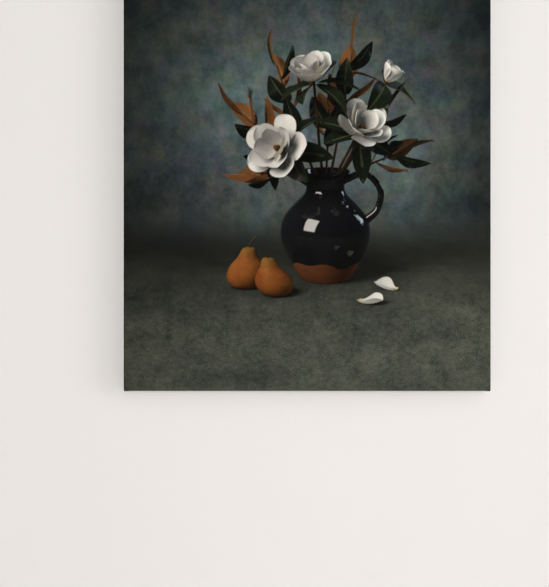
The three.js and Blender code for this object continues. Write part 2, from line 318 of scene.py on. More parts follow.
def addPetal(root, axis, out, length, width, opening, curl, cup, chance):
    st = surfaceGrid(1 - np.linspace(1, 0, 20) ** 2, np.linspace(-1, 1, 13))  # closer at its tip
    s, t = st[:, :1, 0], st[..., 1]
    axis = unit(axis)
    out = unit(out - axis * (np.asarray(out) @ axis))
    turn = opening + curl * (s - 0.35) ** 2 * np.sign(s - 0.35) + 0.9 * (1 - s) ** 3
    rise, fall = smoothStep(0, 0.62, s), np.clip((s - 0.62) / 0.38, 0, 1)
    half = width / 2 * (0.30 + 0.70 * rise) * np.sqrt(1 - fall**2.4) + 0.0002
    dish = cup * t**2 + 0.10 * np.sin(5 * s + chance.uniform(0, 6)) * t**3
    addBlade(np.asarray(root), axis, np.cross(axis, out), out, turn[:, 0], half, -dish,
             length, "petal", st, chance.uniform(-1, 1))


def spoke(axis, hint, angle):
    # A direction square to the axis, turned about it by the angle
    one = unit(np.cross(axis, hint))
    return one * math.cos(angle) + np.cross(axis, one) * math.sin(angle)


def addBlossom(centre, axis, size, openness, chance):
    start = chance.uniform(0, 6)
    for share, count, longer in petalRounds:
        for k in range(count):
            angle = start + 2 * math.pi * (k + chance.uniform(-0.12, 0.12)) / count
            out = spoke(axis, (0.2, 0.5, 0.84), angle)
            addPetal(
                centre + (out * 0.004 - axis * 0.003) * share, axis, out,
                length=size * longer * chance.uniform(0.94, 1.05),
                width=size * 0.74 * longer * chance.uniform(0.92, 1.06),
                opening=share * openness + chance.uniform(-0.06, 0.06),
                curl=chance.uniform(0.1, 0.9) * share, cup=0.42 - 0.20 * share, chance=chance)
        start += math.pi / count
    places, radii = (-0.02, 0.16, 0.30, 0.38), (0.085, 0.10, 0.065, 0.01)
    addTube([centre + axis * size * k for k in places], [size * radius for radius in radii], "cone", sides=12)


def stemPath(root, tip, bow, count=16):
    root, tip = np.asarray(root), np.asarray(tip)
    return smoothPath([root, root * 0.62 + tip * 0.38 + bow, tip], count)


def addPear(x, y, size, lean, chance):
    profile = [(0.0, 0.004), (0.22, 0.0), (0.40, 0.10), (0.47, 0.30), (0.40, 0.52), (0.255, 0.70),
               (0.19, 0.84), (0.13, 0.93), (0.0, 0.955)]
    one, two = chance.uniform(0, 6), chance.uniform(0, 6)
    addTurned([(r * size, z * size) for r, z in profile], (x, y), "pear", sides=40, rows=44, lean=lean,
              swell=lambda a, z: 0.025 * np.sin(2 * a + one) + 0.015 * np.sin(3 * a + two + 20 * z))
    top = np.array([x + lean[0] * size * 0.94, y + lean[1] * size * 0.94, size * 0.94])
    stalk = ((0, 0, 0), (lean[0] * 0.02 + 0.003, 0, size * 0.14), (lean[0] * 0.06 + 0.012, 0, size * 0.27))
    addTube(top + stalk, [0.0022, 0.0017, 0.0026], "twig")


def addJug():
    height = stillLife["jugHeight"]
    x, y = stillLife["jugAt"]
    wall = [(0.0, 0.0), (0.19, 0.0), (0.235, 0.03), (0.30, 0.13), (0.385, 0.30), (0.415, 0.45),
            (0.375, 0.60), (0.27, 0.725), (0.195, 0.80), (0.175, 0.87), (0.19, 0.95), (0.225, 1.0),
            (0.215, 1.008), (0.16, 0.93), (0.14, 0.86), (0.13, 0.7)]
    addTurned([(r * height, z * height) for r, z in wall], (x, y), "glaze", sides=56, rows=64)
    grip = [(0.17, 0.93), (0.36, 0.99), (0.50, 0.84), (0.475, 0.66), (0.375, 0.56)]
    addTube(smoothPath([(x + r * height, y - 0.01, z * height) for r, z in grip], 30),
            [0.0095, 0.0078, 0.0078, 0.0085, 0.011], "glaze", sides=14)
    return np.array([x, y, 0.96 * height])


def addBouquet(mouth, chance):
    for at, axis, size, openness in blossoms:
        centre, axis = mouth + at, unit(axis)
        addBlossom(centre, axis, size, openness, chance)
        root = mouth + (at[0] * 0.05, 0, -0.05)
        stem = stemPath(root, centre - axis * 0.004, (at[0] * 0.1, 0.01, 0.02))
        addTube(stem, [0.0042, 0.0036, 0.0034], "twig")
        start = chance.uniform(0, 6)
        count = 7 if size > 0.05 else 4
        for k in range(count):
            angle = start + 2 * math.pi * (k + chance.uniform(-0.25, 0.25)) / count
            out = spoke(axis, (0.3, 0.2, 0.9), angle)
            root = centre - axis * 0.012 + out * 0.008
            heading = out + axis * chance.uniform(-0.35, 0.30) + (0, 0.12, 0.05)
            addLeaf(root, heading, np.cross(heading, axis), "underBlossom", chance)
    for at, count in sprays:
        path = stemPath(mouth + (at[0] * 0.05, 0.005, -0.05), mouth + at, (at[0] * 0.12, 0.01, 0.03), 20)
        addTube(path, [0.0040, 0.0030, 0.0018], "twig")
        for k in range(count):  # from the tip down, the first one straight on
            i = int((1.0 - 0.5 * k / count) * (len(path) - 1))
            along = unit(path[min(len(path) - 1, i + 1)] - path[i - 1])
            out = spoke(along, (0, 1, 0.1), k * 2.4 + chance.uniform(-0.4, 0.4))
            heading = along * 0.75 + out * 0.8 if k else along * 1.3 + out * 0.1
            side = np.cross(heading, out if k else spoke(along, (0, 1, 0.1), 0))
            addLeaf(path[i], heading, side, "onSpray", chance)


def setStillLife():
    chance = random.Random(stillLife["seed"])
    addBouquet(addJug(), chance)
    addPear(-0.150, -0.080, 0.104, (0.10, -0.05), chance)
    addPear(-0.072, -0.150, 0.096, (-0.22, -0.12), chance)
    for x, y, turn in fallenPetals:
        addPetal((x, y, 0.004), (0, 0, 1), (math.cos(turn), math.sin(turn), 0), length=0.066, width=0.052,
                 opening=1.30, curl=-0.5, cup=0.62, chance=chance)


setStillLife()
print(f"still life: {len(models)} models")

# All the models in one soup, with a tree to cast rays at
starts = np.cumsum([0] + [len(m["points"]) for m in models[:-1]])
setPoints, setCoords = (np.concatenate([m[part] for m in models]) for part in ("points", "st"))
setTriangles = np.concatenate([m["triangles"] + start for m, start in zip(models, starts)])
owner = np.repeat(np.arange(len(models)), [len(m["triangles"]) for m in models])
setPaint, setTint = (np.array([m[part] for m in models])[owner] for part in ("paint", "tint"))


def sumOfNormals():
    first, second, third = (setPoints[setTriangles[:, k]] for k in range(3))
    faceNormals = np.cross(second - first, third - first)
    total = np.zeros_like(setPoints)
    for k in range(3):
        np.add.at(total, setTriangles[:, k], faceNormals)
    return total


setNormals = unit(sumOfNormals())
setTree = BVHTree.FromPolygons(setPoints.tolist(), setTriangles.tolist())


def castRays(origins, directions, reach=9.0):
    # The triangle that each ray meets, or -1, and how far away it is
    found, far = np.full(len(origins), -1), np.full(len(origins), reach)
    limits = np.broadcast_to(reach, len(origins))
    for i, ray in enumerate(zip(origins.tolist(), directions.tolist(), limits.tolist())):
        _, _, face, distance = setTree.ray_cast(*ray)
        if face is not None:
            found[i], far[i] = face, distance
    return found, far


def lampFrame(lamp):
    at, aim = np.array(lamp["at"]), np.array(lamp["aim"])
    facing = unit(aim - at)
    right = unit(np.cross(facing, (0, 0, 1)))
    return at, facing, right, np.cross(right, facing)


def lampPoints(lamp):
    at, facing, right, up = lampFrame(lamp)
    u, v = ((np.arange(n) + 0.5) / n - 0.5 for n in lamp["grid"])
    return [at + a * right * lamp["wide"] + b * up * lamp["high"] for a in u for b in v]


def roomDirections(count):
    # Spread evenly over the sphere, along a spiral
    k = np.arange(count) + 0.5
    z = 1 - 2 * k / count
    angle = math.pi * (1 + 5**0.5) * k
    return np.stack([np.sqrt(1 - z * z) * np.cos(angle), np.sqrt(1 - z * z) * np.sin(angle), z], -1)


roomLight = {
    "directions": 20,
    "tones": (1.0, 0.35, 0.10),  # from above and ahead, from elsewhere, and from the floor
    "reach": 0.6,  # farther off nothing shades it
    "share": 4,
}


def lightOn(points, normals):
    # Light from the key lamp, the rim lamp and the room that reaches each point, on its front and its back
    def gather(directions, reach, strength, scale):
        facing = dot(directions, normals)
        asked = np.nonzero((np.abs(facing) > 0.01) & (strength > 0))[0]
        clear = np.zeros(len(points))
        start = points[asked] + directions[asked] * stillLife["clearance"]
        clear[asked] = castRays(start, directions[asked], reach[asked])[0] < 0
        clear *= strength * scale
        return np.stack([clear * np.clip(facing, 0, 1), clear * np.clip(-facing, 0, 1)])

    shares = []
    for lamp in lamps.values():
        spots = lampPoints(lamp)
        at, facing = lampFrame(lamp)[:2]
        total = 0
        for spot in spots:
            toLamp = spot - points
            far = np.linalg.norm(toLamp, axis=1)
            toLamp /= far[:, None]
            strength = np.clip(-toLamp @ facing, 0, 1) * np.sum((lamp["aim"] - at) ** 2) / far**2
            total = total + gather(toLamp, far - 0.01, strength, 1 / len(spots))
        shares.append(total)
    high, level, low = roomLight["tones"]
    total = 0
    for direction in roomDirections(roomLight["directions"]):
        tone = level + (high - level) * min(max(0.25 + direction @ (-0.25, -0.45, 0.55), 0), 1)
        tone = tone if direction[2] > -0.05 else low
        spread = np.broadcast_to(direction, points.shape)
        total = total + gather(spread, np.full(len(points), roomLight["reach"]), np.full(len(points), tone),
                               roomLight["share"] / roomLight["directions"])
    shares.append(total)
    return [np.stack(side, 1) for side in zip(*shares)]


lightFront, lightBehind = lightOn(setPoints, setNormals)
lampTints = np.array([(0.72, 0.70, 0.67), (0.45, 0.52, 0.58), (0.125, 0.14, 0.15)])  # key, rim, room
print("still life lit")


# Each paint gives the colour, how strongly it reflects, and how much light comes through
def paintGlaze(at, s, t, tint, under):
    angle = np.arctan2(at[:, 1] - stillLife["jugAt"][1], at[:, 0] - stillLife["jugAt"][0])
    edge = stillLife["glazeEdge"] + 0.006 * np.sin(3 * angle + 1) + 0.004 * np.sin(7 * angle)
    clay = 1 - smoothStep(-0.0012, 0.0012, at[:, 2] - edge)
    turned = 1 + 0.10 * clay * np.sin(at[:, 2] * 1400)  # rings that the thrower's fingers left
    return blend("#151619", "#8b5330", clay) * turned[:, None], 1.02 - clay, 0 * clay


def paintLeaf(at, s, t, tint, under):
    rib = np.exp(-((t / 0.07) ** 2)) * (1 - 0.5 * s)
    vein = np.clip(np.cos((s * 13 - np.abs(t) * 2.6) * 2 * math.pi) - 0.72, 0, 1)
    shift = 0.5 + 0.5 * tint
    gloss = blend("#202819", "#161f1a", shift)
    gloss = blend(gloss, "#7d8450", np.clip(rib * 0.8 + vein * 0.14, 0, 1))
    felt = blend("#8a5a34", "#6b4326", shift)
    felt = blend(felt, "#b58a56", np.clip(rib * 0.9 + vein * 0.32, 0, 1))
    return np.where(under[:, None], felt, gloss), np.where(under, 0.03, 0.55 - 0.3 * rib), 0.12 + 0 * s


def paintPetal(at, s, t, tint, under):
    base = blend("#f4efe6", "#cfae74", np.exp(-s / 0.13))
    vein = 1 + 0.04 * np.sin(t * 26 + 2 * np.sin(s * 5)) * (1 - s * 0.5)
    vein -= 0.05 * smoothStep(0.86, 1.0, np.abs(t))
    return base * vein[:, None], 0.03 + 0 * s, 0.55 + 0 * s


def paintCone(at, s, t, tint, under):
    dots = 0.5 + 0.5 * np.sin(s * 60) * np.sin(t * 11)
    return blend("#8a4a22", "#c99a4a", dots), 0 * s, 0 * s


def paintTwig(at, s, t, tint, under):
    return np.broadcast_to(hexColour("#5a4230"), at.shape), 0.04 + 0 * s, 0 * s


def paintPear(at, s, t, tint, under):
    russet = np.clip(0.5 + 0.7 * cloudy(at * 22 + 3, 4), 0, 1)
    skin = blend("#8a4a22", "#a5652c", russet)
    skin = blend(skin, "#6f6a34", 0.5 * smoothStep(0.55, 0.95, s))
    freckles = np.clip(cloudy(at * 150, 2) - 0.15, 0, 1)
    return skin * (1 - 0.30 * freckles)[:, None], 0.10 + 0 * s, 0 * s


paints = {"glaze": paintGlaze, "leaf": paintLeaf, "petal": paintPetal, "cone": paintCone,
          "twig": paintTwig, "pear": paintPear}
# What each lamp looks like in a mirror: its tint, and its strength in glaze and in anything duller
mirrored = {"key": ((1.06, 1.0, 0.92), 9.0, 2.4), "rim": ((0.8, 0.95, 1.1), 5.0, 0.7)}


def lampMirrored(name, at, direction, softness):
    # How much of a lamp a mirror at each point would show, with soft edges
    lampAt, facing, right, up = lampFrame(lamps[name])
    toward = direction @ facing
    toward = np.where(np.abs(toward) < 1e-4, 1e-4, toward)
    reach = ((lampAt - at) @ facing) / toward
    across = at + direction * reach[:, None] - lampAt
    shown = (toward < 0) & (reach > 0)
    for side, size in ((right, lamps[name]["wide"]), (up, lamps[name]["high"])):
        shown = shown * (1 - smoothStep(1 - softness, 1 + softness, np.abs(across @ side) / (size / 2)))
    return shown


def seenModel(face, at, direction, inMirror):
    corners = setTriangles[face]
    a, b, c = (setPoints[corners[:, k]] for k in range(3))
    normal = np.cross(b - a, c - a)
    area = dot(normal, normal)
    second = dot(np.cross(at - a, c - a), normal) / area
    third = dot(np.cross(b - a, at - a), normal) / area
    weights = np.clip(np.stack([1 - second - third, second, third], 1), 0, 1)[..., None]
    under = dot(unit(normal), direction) > 0
    front, behind = ((light[corners] * weights).sum(1) for light in (lightFront, lightBehind))
    lit, through = np.where(under[:, None], behind, front), np.where(under[:, None], front, behind)
    s, t = (setCoords[corners] * weights).sum(1).T
    normal = unit((setNormals[corners] * weights).sum(1))
    normal = np.where(dot(normal, direction)[:, None] > 0, -normal, normal)
    colour, gloss, thin = np.zeros((len(face), 3)), np.zeros(len(face)), np.zeros(len(face))
    for name, paint in paints.items():
        k = np.nonzero(setPaint[face] == name)[0]
        if len(k):
            colour[k], gloss[k], thin[k] = paint(at[k], s[k], t[k], setTint[face[k]], under[k])
    passed = (through @ lampTints) * (1.0, 0.93, 0.78) * thin[:, None]
    bounced = 0.035 * np.clip(-normal[:, 2:], 0, 1)  # from the table
    shade = colour * (lit @ lampTints + passed + bounced)
    mirror = direction - 2 * dot(direction, normal)[:, None] * normal
    sheen = 0
    for name, (tint, sharp, wide) in mirrored.items():
        inGlaze, elsewhere = (lampMirrored(name, at, mirror, softness)[:, None] for softness in (0.1, 0.9))
        sheen = sheen + np.where(gloss[:, None] > 0.8, sharp * inGlaze, wide * elsewhere) * tint
    shiny = np.nonzero((gloss > 0.2) & (not inMirror))[0]
    if len(shiny):
        around, met = seenFrom(at[shiny] + normal[shiny] * 0.0008, mirror[shiny], inMirror=True)
        sheen[shiny] = np.where(met[:, None], around[:, :3], sheen[shiny] + around[:, :3])
    fresnel = 0.045 + 0.955 * (1 - np.clip(-dot(direction, normal), 0, 1)) ** 5
    return shade + (gloss * fresnel)[:, None] * sheen


backdrop = {
    "colours": ("#4f5b60", "#657976", "#5f5f56"),
    "poolAt": (0.02, 0.24),  # middle of the pool of light on it
    "poolReach": (0.46, 0.505, 0.52),  # to the left, to the right and upwards
    "light": (0.13, 0.70, 0.10),  # outside the pool, added in it, and added by the brush marks
    "darkFoot": (0.20, 0.26),  # how high it goes, and how dark it is
}
table = {
    "colours": ("#4c5149", "#6c6f60"),
    "light": (0.70, 0.07, 0.12),  # from the key lamp, the rim lamp and the room
    "near": (0.5, 0.40),  # where the light begins to fall off behind, and how softly
    "rightward": 0.95,  # how much lighter it grows to the right, for each metre
}
# The whole print darkens away from an oval round this height
vignette = {"at": 0.20, "wide": 0.42, "high": 0.62, "start": 0.45, "end": 1.25, "dark": 0.52}


def seenBackdrop(at):
    x, z = at[:, 0], at[:, 2]
    wide = cloudyPlane(x, z, (2.6, 3.4), (0, 0, 1.7), 5)
    fine = cloudyPlane(x, z, (7, 9), (5, 0, 4.2), 4)
    dark, pale, warm = backdrop["colours"]
    paint = blend(dark, pale, np.clip(0.5 + 0.7 * wide, 0, 1))
    paint = blend(paint, warm, np.clip(0.28 + 0.9 * fine, 0, 0.6))
    (poolX, poolZ), (left, right, high) = backdrop["poolAt"], backdrop["poolReach"]
    reach = np.where(x > poolX, right, left)
    pool = np.exp(-(np.abs((x - poolX) / reach) ** 3) - ((z - poolZ) / high) ** 2)
    least, inPool, brushed = backdrop["light"]
    footHeight, footDark = backdrop["darkFoot"]
    foot = 1 - footDark + footDark * smoothStep(0, footHeight, z)
    return paint * ((least + inPool * pool + brushed * fine) * foot)[:, None]


def seenTable(at):
    fromKey, fromRim, fromRoom = lightOn(at, np.broadcast_to((0.0, 0.0, 1.0), at.shape))[0].T
    x, y = at[:, 0], at[:, 1]
    wide = cloudyPlane(x, y, (4.2, 4.2), (0, 0, 9.3), 5)
    fine = cloudyPlane(x, y, (18, 18), (0, 0, 2.3), 3)
    stone = blend(*table["colours"], np.clip(0.5 + 0.5 * wide + 0.25 * fine, 0, 1))
    start, soft = table["near"]
    near = np.exp(-(np.clip(y + start, 0, 9) ** 2) / soft)
    key, rim, ambient = table["light"]
    light = key * fromKey * (0.10 + 0.90 * near) + rim * fromRim + fromRoom * (0.04 + ambient * near)
    return stone * (light * (0.84 + table["rightward"] * np.clip(x, -0.35, 0.35)))[:, None]


def paintedGround(at):
    # The table, which rises softly into the backdrop at its far edge, and how much of each fine pattern shows
    depth = at[:, 1]
    rise = smoothStep(0.25, stillLife["backdropAt"], depth)
    colour = np.zeros((len(at), 3))
    for seen, share in ((seenTable, 1 - rise), (seenBackdrop, rise)):
        k = share > 0
        if k.any():
            colour[k] += seen(at[k]) * share[k, None]
    crisp = smoothStep(0.35, -0.40, depth)
    return np.column_stack([colour, (1 - rise) * crisp, rise])


def seenFrom(origins, directions, inMirror=False):
    # Colour, and the shares of table and of backdrop, which are both 0 on a model
    face, far = castRays(origins, directions)
    down, into = directions[:, 2], directions[:, 1]
    toTable = np.where(down < -1e-4, -origins[:, 2] / np.minimum(down, -1e-4), 99)
    toBackdrop = np.where(into > 1e-4, (stillLife["backdropAt"] - origins[:, 1]) / np.maximum(into, 1e-4), 99)
    ink = np.zeros((len(origins), 5))
    onModel, toGround = face >= 0, np.minimum(toTable, toBackdrop)
    k = np.nonzero(onModel)[0]
    if len(k):
        ink[k, :3] = seenModel(face[k], origins[k] + directions[k] * far[k, None], directions[k], inMirror)
    k = np.nonzero(~onModel & (toGround < 99))[0]
    if len(k):
        ink[k] = paintedGround(origins[k] + directions[k] * toGround[k, None])
    return ink, onModel


def printInk(u, v):
    # What the print shows, u metres from its middle line and v metres above its bottom edge
    eye, aim = np.array(stillLife["eye"]), np.array(stillLife["aim"])
    forward = unit(aim - eye)
    right = unit(np.cross(forward, (0, 0, 1)))
    focal = stillLife["enlarge"] * np.linalg.norm(aim - eye)
    up = (v - stillLife["aimHeight"])[:, None] * np.cross(right, forward)
    directions = unit(forward * focal + right * u[:, None] + up)
    ink = seenFrom(np.broadcast_to(eye, directions.shape), directions)[0]
    away = np.sqrt((u / vignette["wide"]) ** 2 + ((v - vignette["at"]) / vignette["high"]) ** 2)
    ink[:, :3] *= (1 - vignette["dark"] * smoothStep(vignette["start"], vignette["end"], away))[:, None]
    return ink


# The cloth: one sheet, drawn over the bars' rounded edges and stapled at the back. Its front is cut into
# cells, which are small where the print has detail.
cloth = {
    "cutSize": (0.714, 0.914),  # before it was stretched
    "thickness": 0.5 * mm,
    "edgeRadius": 3.4 * mm,  # outside of the cloth, over the bars' edges
    "turnover": 20 * mm,
    "printBeyondEdge": 3 * mm,  # how far the print runs on onto the back
    "cornerSquareness": 5,
    "cells": (48, 64),
    "contrastToSplit": (0.016, 0.020, 0.028, 0.110),  # from the largest cells to the smallest
    "slack": 0.35 * mm,  # how far the front is from flat
    "slackHeld": 45 * mm,  # how near the bars it begins to be held flat
    "puff": 0.45 * mm,  # how far the turnover stands off between staples
    "puffReach": 16 * mm,
    "ragged": 0.35 * mm,  # unevenness of the cut edge
    "raggedEvery": 3,  # points along the edge
    "raggedSeed": 4,
    "primed": "#dfdcd4",
    "raw": "#cfc3a6",
}
folds = {
    "base": 40 * mm,
    "depth": 19 * mm,
    "rise": 0.5 * mm,
    "inset": 0.5 * mm,  # from the picture's corner
    "clearance": 0.05 * mm,
    "narrowest": 0.8 * mm,
    # across a fold: share of its width, share of its rise
    "section": ((0, 0.3), (0.03, 0.7), (0.10, 0.9), (0.3, 1.0), (0.6, 1.0), (0.88, 1.1), (0.97, 1.0),
                (1.0, 0.4)),
}
edgeRadius, thickness = cloth["edgeRadius"], cloth["thickness"]
faceHalfWidth, faceHalfHeight = halfWidth - edgeRadius, halfHeight - edgeRadius
roundLength = edgeRadius * math.pi / 2
sideLength = clothBack - clothFront - 2 * edgeRadius
backStart = 2 * roundLength + sideLength  # distances over the edge, from the flat of the front
cutAt = backStart + cloth["turnover"] - edgeRadius


def overEdge(q, lift=0.0):
    # How far out and how deep the cloth is at a distance q over the edge
    frontTurn = np.clip(q / edgeRadius, 0, math.pi / 2)
    backTurn = np.clip((q - roundLength - sideLength) / edgeRadius, 0, math.pi / 2)
    straight = np.clip(q - roundLength, 0, sideLength)
    beyond = np.clip(q - backStart, 0, None)
    outward = (edgeRadius + lift) * np.sin(frontTurn) * np.cos(backTurn) - beyond
    deep = (edgeRadius + lift) * (np.sin(backTurn) - np.cos(frontTurn)) + edgeRadius + straight
    return outward, clothFront + deep


def staplesAlong(name):
    # Where one side's staples are, from its middle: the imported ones, and one between each two of them
    axis, middle = (0, 0) if name in ("top", "bottom") else (2, middleHeight)
    nodes = [node for node in frame["nodes"] if node.startswith(f"staple_{name}_")]
    fixed = sorted((low[axis] + high[axis]) / 2 - middle for low, high in map(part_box, nodes))
    return np.array(sorted(fixed + [(a + b) / 2 for a, b in zip(fixed, fixed[1:])]))


sides = {  # outward direction and direction along, as seen from the front, in order round the picture
    "bottom": {"out": (0, -1), "along": (1, 0), "half": faceHalfWidth, "away": faceHalfHeight},
    "right": {"out": (1, 0), "along": (0, 1), "half": faceHalfHeight, "away": faceHalfWidth},
    "top": {"out": (0, 1), "along": (-1, 0), "half": faceHalfWidth, "away": faceHalfHeight},
    "left": {"out": (-1, 0), "along": (0, -1), "half": faceHalfHeight, "away": faceHalfWidth},
}
for name, side in sides.items():
    side["staples"] = staplesAlong(name)


def puffed(name, along, q):
    # The turnover lies close at each staple and stands off the wood between them
    nearest = np.abs(np.asarray(along)[..., None] - sides[name]["staples"]).min(-1)
    onBack = smoothStep(backStart - 2 * edgeRadius, backStart + edgeRadius, q)
    return cloth["puff"] * smoothStep(2 * mm, cloth["puffReach"], nearest) * onBack


def mirroredPrint(x, z, outX, outZ, q):
    # The print turns the edge and then runs on as its own mirror image
    reach = np.where(q < roundLength / 2, q, roundLength - q)
    ink = printInk(x + outX * reach, z + outZ * reach + halfHeight)
    printed = q < backStart + cloth["printBeyondEdge"]
    return np.where(printed[:, None], ink, (*hexColour(cloth["primed"]), 0, 0))


# The front's cells, on a lattice as fine as the smallest of them
coarsest = 2 ** len(cloth["contrastToSplit"])
latticeWide, latticeHigh = (n * coarsest for n in cloth["cells"])
cellSize = np.full((latticeWide, latticeHigh), coarsest)
ink = np.full((latticeWide + 1, latticeHigh + 1, 5), np.nan)


def latticePoint(i, j):
    return (i / latticeWide * 2 - 1) * faceHalfWidth, (j / latticeHigh * 2 - 1) * faceHalfHeight


def inkAt(i, j):
    x, z = latticePoint(i, j)
    return printInk(x, z + halfHeight)


def fillInk(i, j):
    i, j = np.unique(np.stack([i, j], 1)[np.isnan(ink[i, j, 0])], axis=0).T
    if len(i):
        ink[i, j] = inkAt(i, j)


def cellsOf(size, sizes=cellSize):
    i, j = np.nonzero(sizes == size)
    first = (i % size == 0) & (j % size == 0)
    return i[first], j[first]


def cornersOf(size):
    # The corners of each cell of a size, in order round it
    i, j = cellsOf(size)
    return np.stack([i, i + size, i + size, i], 1), np.stack([j, j, j + size, j + size], 1)


def splitCells(i, j, size):
    for a, b in zip(i, j):
        cellSize[a:a + size, b:b + size] = size // 2


def splitByContrast():
    size = coarsest
    for limit in cloth["contrastToSplit"]:
        a, b = cornersOf(size)
        fillInk(a.ravel(), b.ravel())
        shown = np.clip(ink[a, b, :3], 0, 1) ** (1 / 2.2)  # as the eye sees it
        contrast = np.ptp(shown, axis=1).max(-1)
        atEdge = (a.min(1) == 0) | (b.min(1) == 0) | (a.max(1) == latticeWide) | (b.max(1) == latticeHigh)
        chosen = (contrast > limit) | (atEdge & (size == coarsest))
        splitCells(a[chosen, 0], b[chosen, 0], size)
        size //= 2


def evenOut():
    # No cell is more than twice as wide as the one beside it
    changed = True
    while changed:
        changed = False
        around = np.pad(cellSize, 1, mode="edge")
        least = np.minimum.reduce([around[:-2, 1:-1], around[2:, 1:-1], around[1:-1, :-2], around[1:-1, 2:]])
        size = coarsest
        while size > 2:
            i, j = np.nonzero((cellSize == size) & (least < size // 2))
            found = np.unique(np.stack([i // size * size, j // size * size], 1), axis=0)
            splitCells(found[:, 0], found[:, 1], size)
            changed |= len(found) > 0
            size //= 2


def cellFaces(sizes, corner):
    # Each cell as one face that takes in its neighbours' corners
    faces = []
    for size in sorted(set(sizes.ravel().tolist())):
        for a, b in zip(*cellsOf(size, sizes)):
            rim = [*corner[a:a + size, b], *corner[a + size, b:b + size],
                   *corner[a + size:a:-1, b + size], *corner[a, b + size:b:-1]]
            faces.append([int(k) for k in rim if k >= 0])
    return faces


def softenOutlines():
    # Where the cells are smallest, each point takes the mean of four looks around it
    i, j = np.unique(np.stack([corner.ravel() for corner in cornersOf(1)], 1), axis=0).T
    looks = ((-0.36, -0.14), (0.14, -0.36), (0.36, 0.14), (-0.14, 0.36))
    ink[i, j] = sum(inkAt(i + across, j + up) for across, up in looks) / len(looks)


splitByContrast()
evenOut()
used = np.zeros(ink.shape[:2], bool)
for size in (2 ** k for k in range(len(cloth["contrastToSplit"]) + 1)):
    used[cornersOf(size)] = True
fillInk(*np.nonzero(used))
softenOutlines()
print(f"print: {int(used.sum())} points")


class ClothMesh:
    # Collects the cloth's points, each with its place on the flat sheet and its ink. Where points meet, a
    # face joins the first of them (faces) but keeps its own place on the sheet (places).
    def __init__(self):
        self.points, self.flat, self.ink, self.faces, self.places, self.kinds = [], [], [], [], [], []
        self.count = 0

    def add(self, points, flat, ink):
        self.points.append(points)
        self.flat.append(flat)
        self.ink.append(np.broadcast_to(ink, (len(points), 5)))
        self.count += len(points)
        return np.arange(self.count - len(points), self.count)

    def addFaces(self, faces, kind, places=None):
        self.faces += faces
        self.places += places or faces
        self.kinds += [kind] * len(faces)

    def addStrip(self, first, second, kind):
        # Faces between two rings, each of joined and of own points, with the corners that meet left out
        (one, ownOne), (two, ownTwo) = first, second
        for k in range(len(one)):
            after = (k + 1) % len(one)
            joined = (one[k], one[after], two[after], two[k])
            own = (ownOne[k], ownOne[after], ownTwo[after], ownTwo[k])
            face = dict(reversed([(int(a), int(b)) for a, b in zip(joined, own)]))
            if len(face) > 2:
                self.addFaces([list(face)[::-1]], kind, [list(face.values())[::-1]])

    def addFlat(self, kept, depth, ink):
        # A flat's points, kept by their places on the lattice, with -1 where there is none
        x, z = latticePoint(*np.nonzero(kept))
        corner = np.full(kept.shape, -1)
        corner[kept] = self.add(worldPoint(x, z, depth + slackAt(x, z)), np.stack([x, z], 1), ink)
        return corner


def slackAt(x, z):
    # The stretched front isn't quite flat: low waves that die away at the bars
    held = cloth["slackHeld"]
    hold = smoothStep(0, held, faceHalfWidth - np.abs(x)) * smoothStep(0, held, faceHalfHeight - np.abs(z))
    return cloth["slack"] * hold * cloudyPlane(x, z, (5, 5), (0, 0, 3.1), 2)


def worldPoint(x, z, depth):
    return np.stack([x, depth + 0 * x, z + middleHeight], 1)


def edgeRing():
    # The rim of the front, in order, with a fan of directions at each corner
    square = cloth["cornerSquareness"]
    ring = []
    for name, side in sides.items():
        (ox, oz), (ax, az) = side["out"], side["along"]
        line = used[:, 0 if name == "bottom" else -1] if ax else used[0 if name == "left" else -1]
        steps = np.nonzero(line if ax + az > 0 else line[::-1])[0]
        ring += [(name, along, (ox, oz)) for along in (steps / (len(line) - 1) * 2 - 1) * side["half"]]
        for turn in np.linspace(0, math.pi / 2, 7)[1:-1]:
            c, s = math.cos(turn), math.sin(turn)
            reach = (c ** square + s ** square) ** (-1 / square)
            ring.append((name, side["half"], ((ox * c + ax * s) * reach, (oz * c + az * s) * reach)))
    return zip(*ring)


ringSide, ringAlong, ringOut = edgeRing()
ringAlong, ringOut = np.array(ringAlong), np.array(ringOut)
outs, alongs, halves, aways = (np.array([sides[name][part] for name in ringSide], float)
                               for part in ("out", "along", "half", "away"))
ringBase = outs * aways[:, None] + alongs * ringAlong[:, None]
ringInto = outs + alongs * (ringAlong / halves)[:, None]


def ringPoints(q, lift, ragged=0.0):
    # The cloth all round the picture at one distance over the edge
    puff = np.array([puffed(name, along, q) for name, along in zip(ringSide, ringAlong)])
    outward, deep = overEdge(np.full(len(ringAlong), q), lift)
    outward = outward + ragged
    direction = np.where((outward >= 0)[:, None], ringOut, ringInto)  # on the back the sides meet at a mitre
    flat = ringBase + direction * outward[:, None]
    points = worldPoint(flat[:, 0], flat[:, 1], deep + puff)
    return points, flat + ringOut * (q - outward)[:, None]  # the threads run on straight to the cut edge


def addRing(mesh, q, lift, ink, ragged):
    points, flat = ringPoints(q, lift, ragged)
    own = mesh.add(points, flat, ink)
    joined = own.copy()
    for k in range(1, len(own)):
        if np.linalg.norm(points[k] - points[k - 1]) < 1e-7:
            joined[k] = joined[k - 1]
    if np.linalg.norm(points[-1] - points[0]) < 1e-7:
        joined[joined == joined[-1]] = joined[0]
    return joined, own


def rimOf(corner):
    # The front's own points under each point of the ring
    i = np.rint((ringBase[:, 0] / faceHalfWidth + 1) / 2 * latticeWide).astype(int)
    j = np.rint((ringBase[:, 1] / faceHalfHeight + 1) / 2 * latticeHigh).astype(int)
    return corner[i, j], corner[i, j]


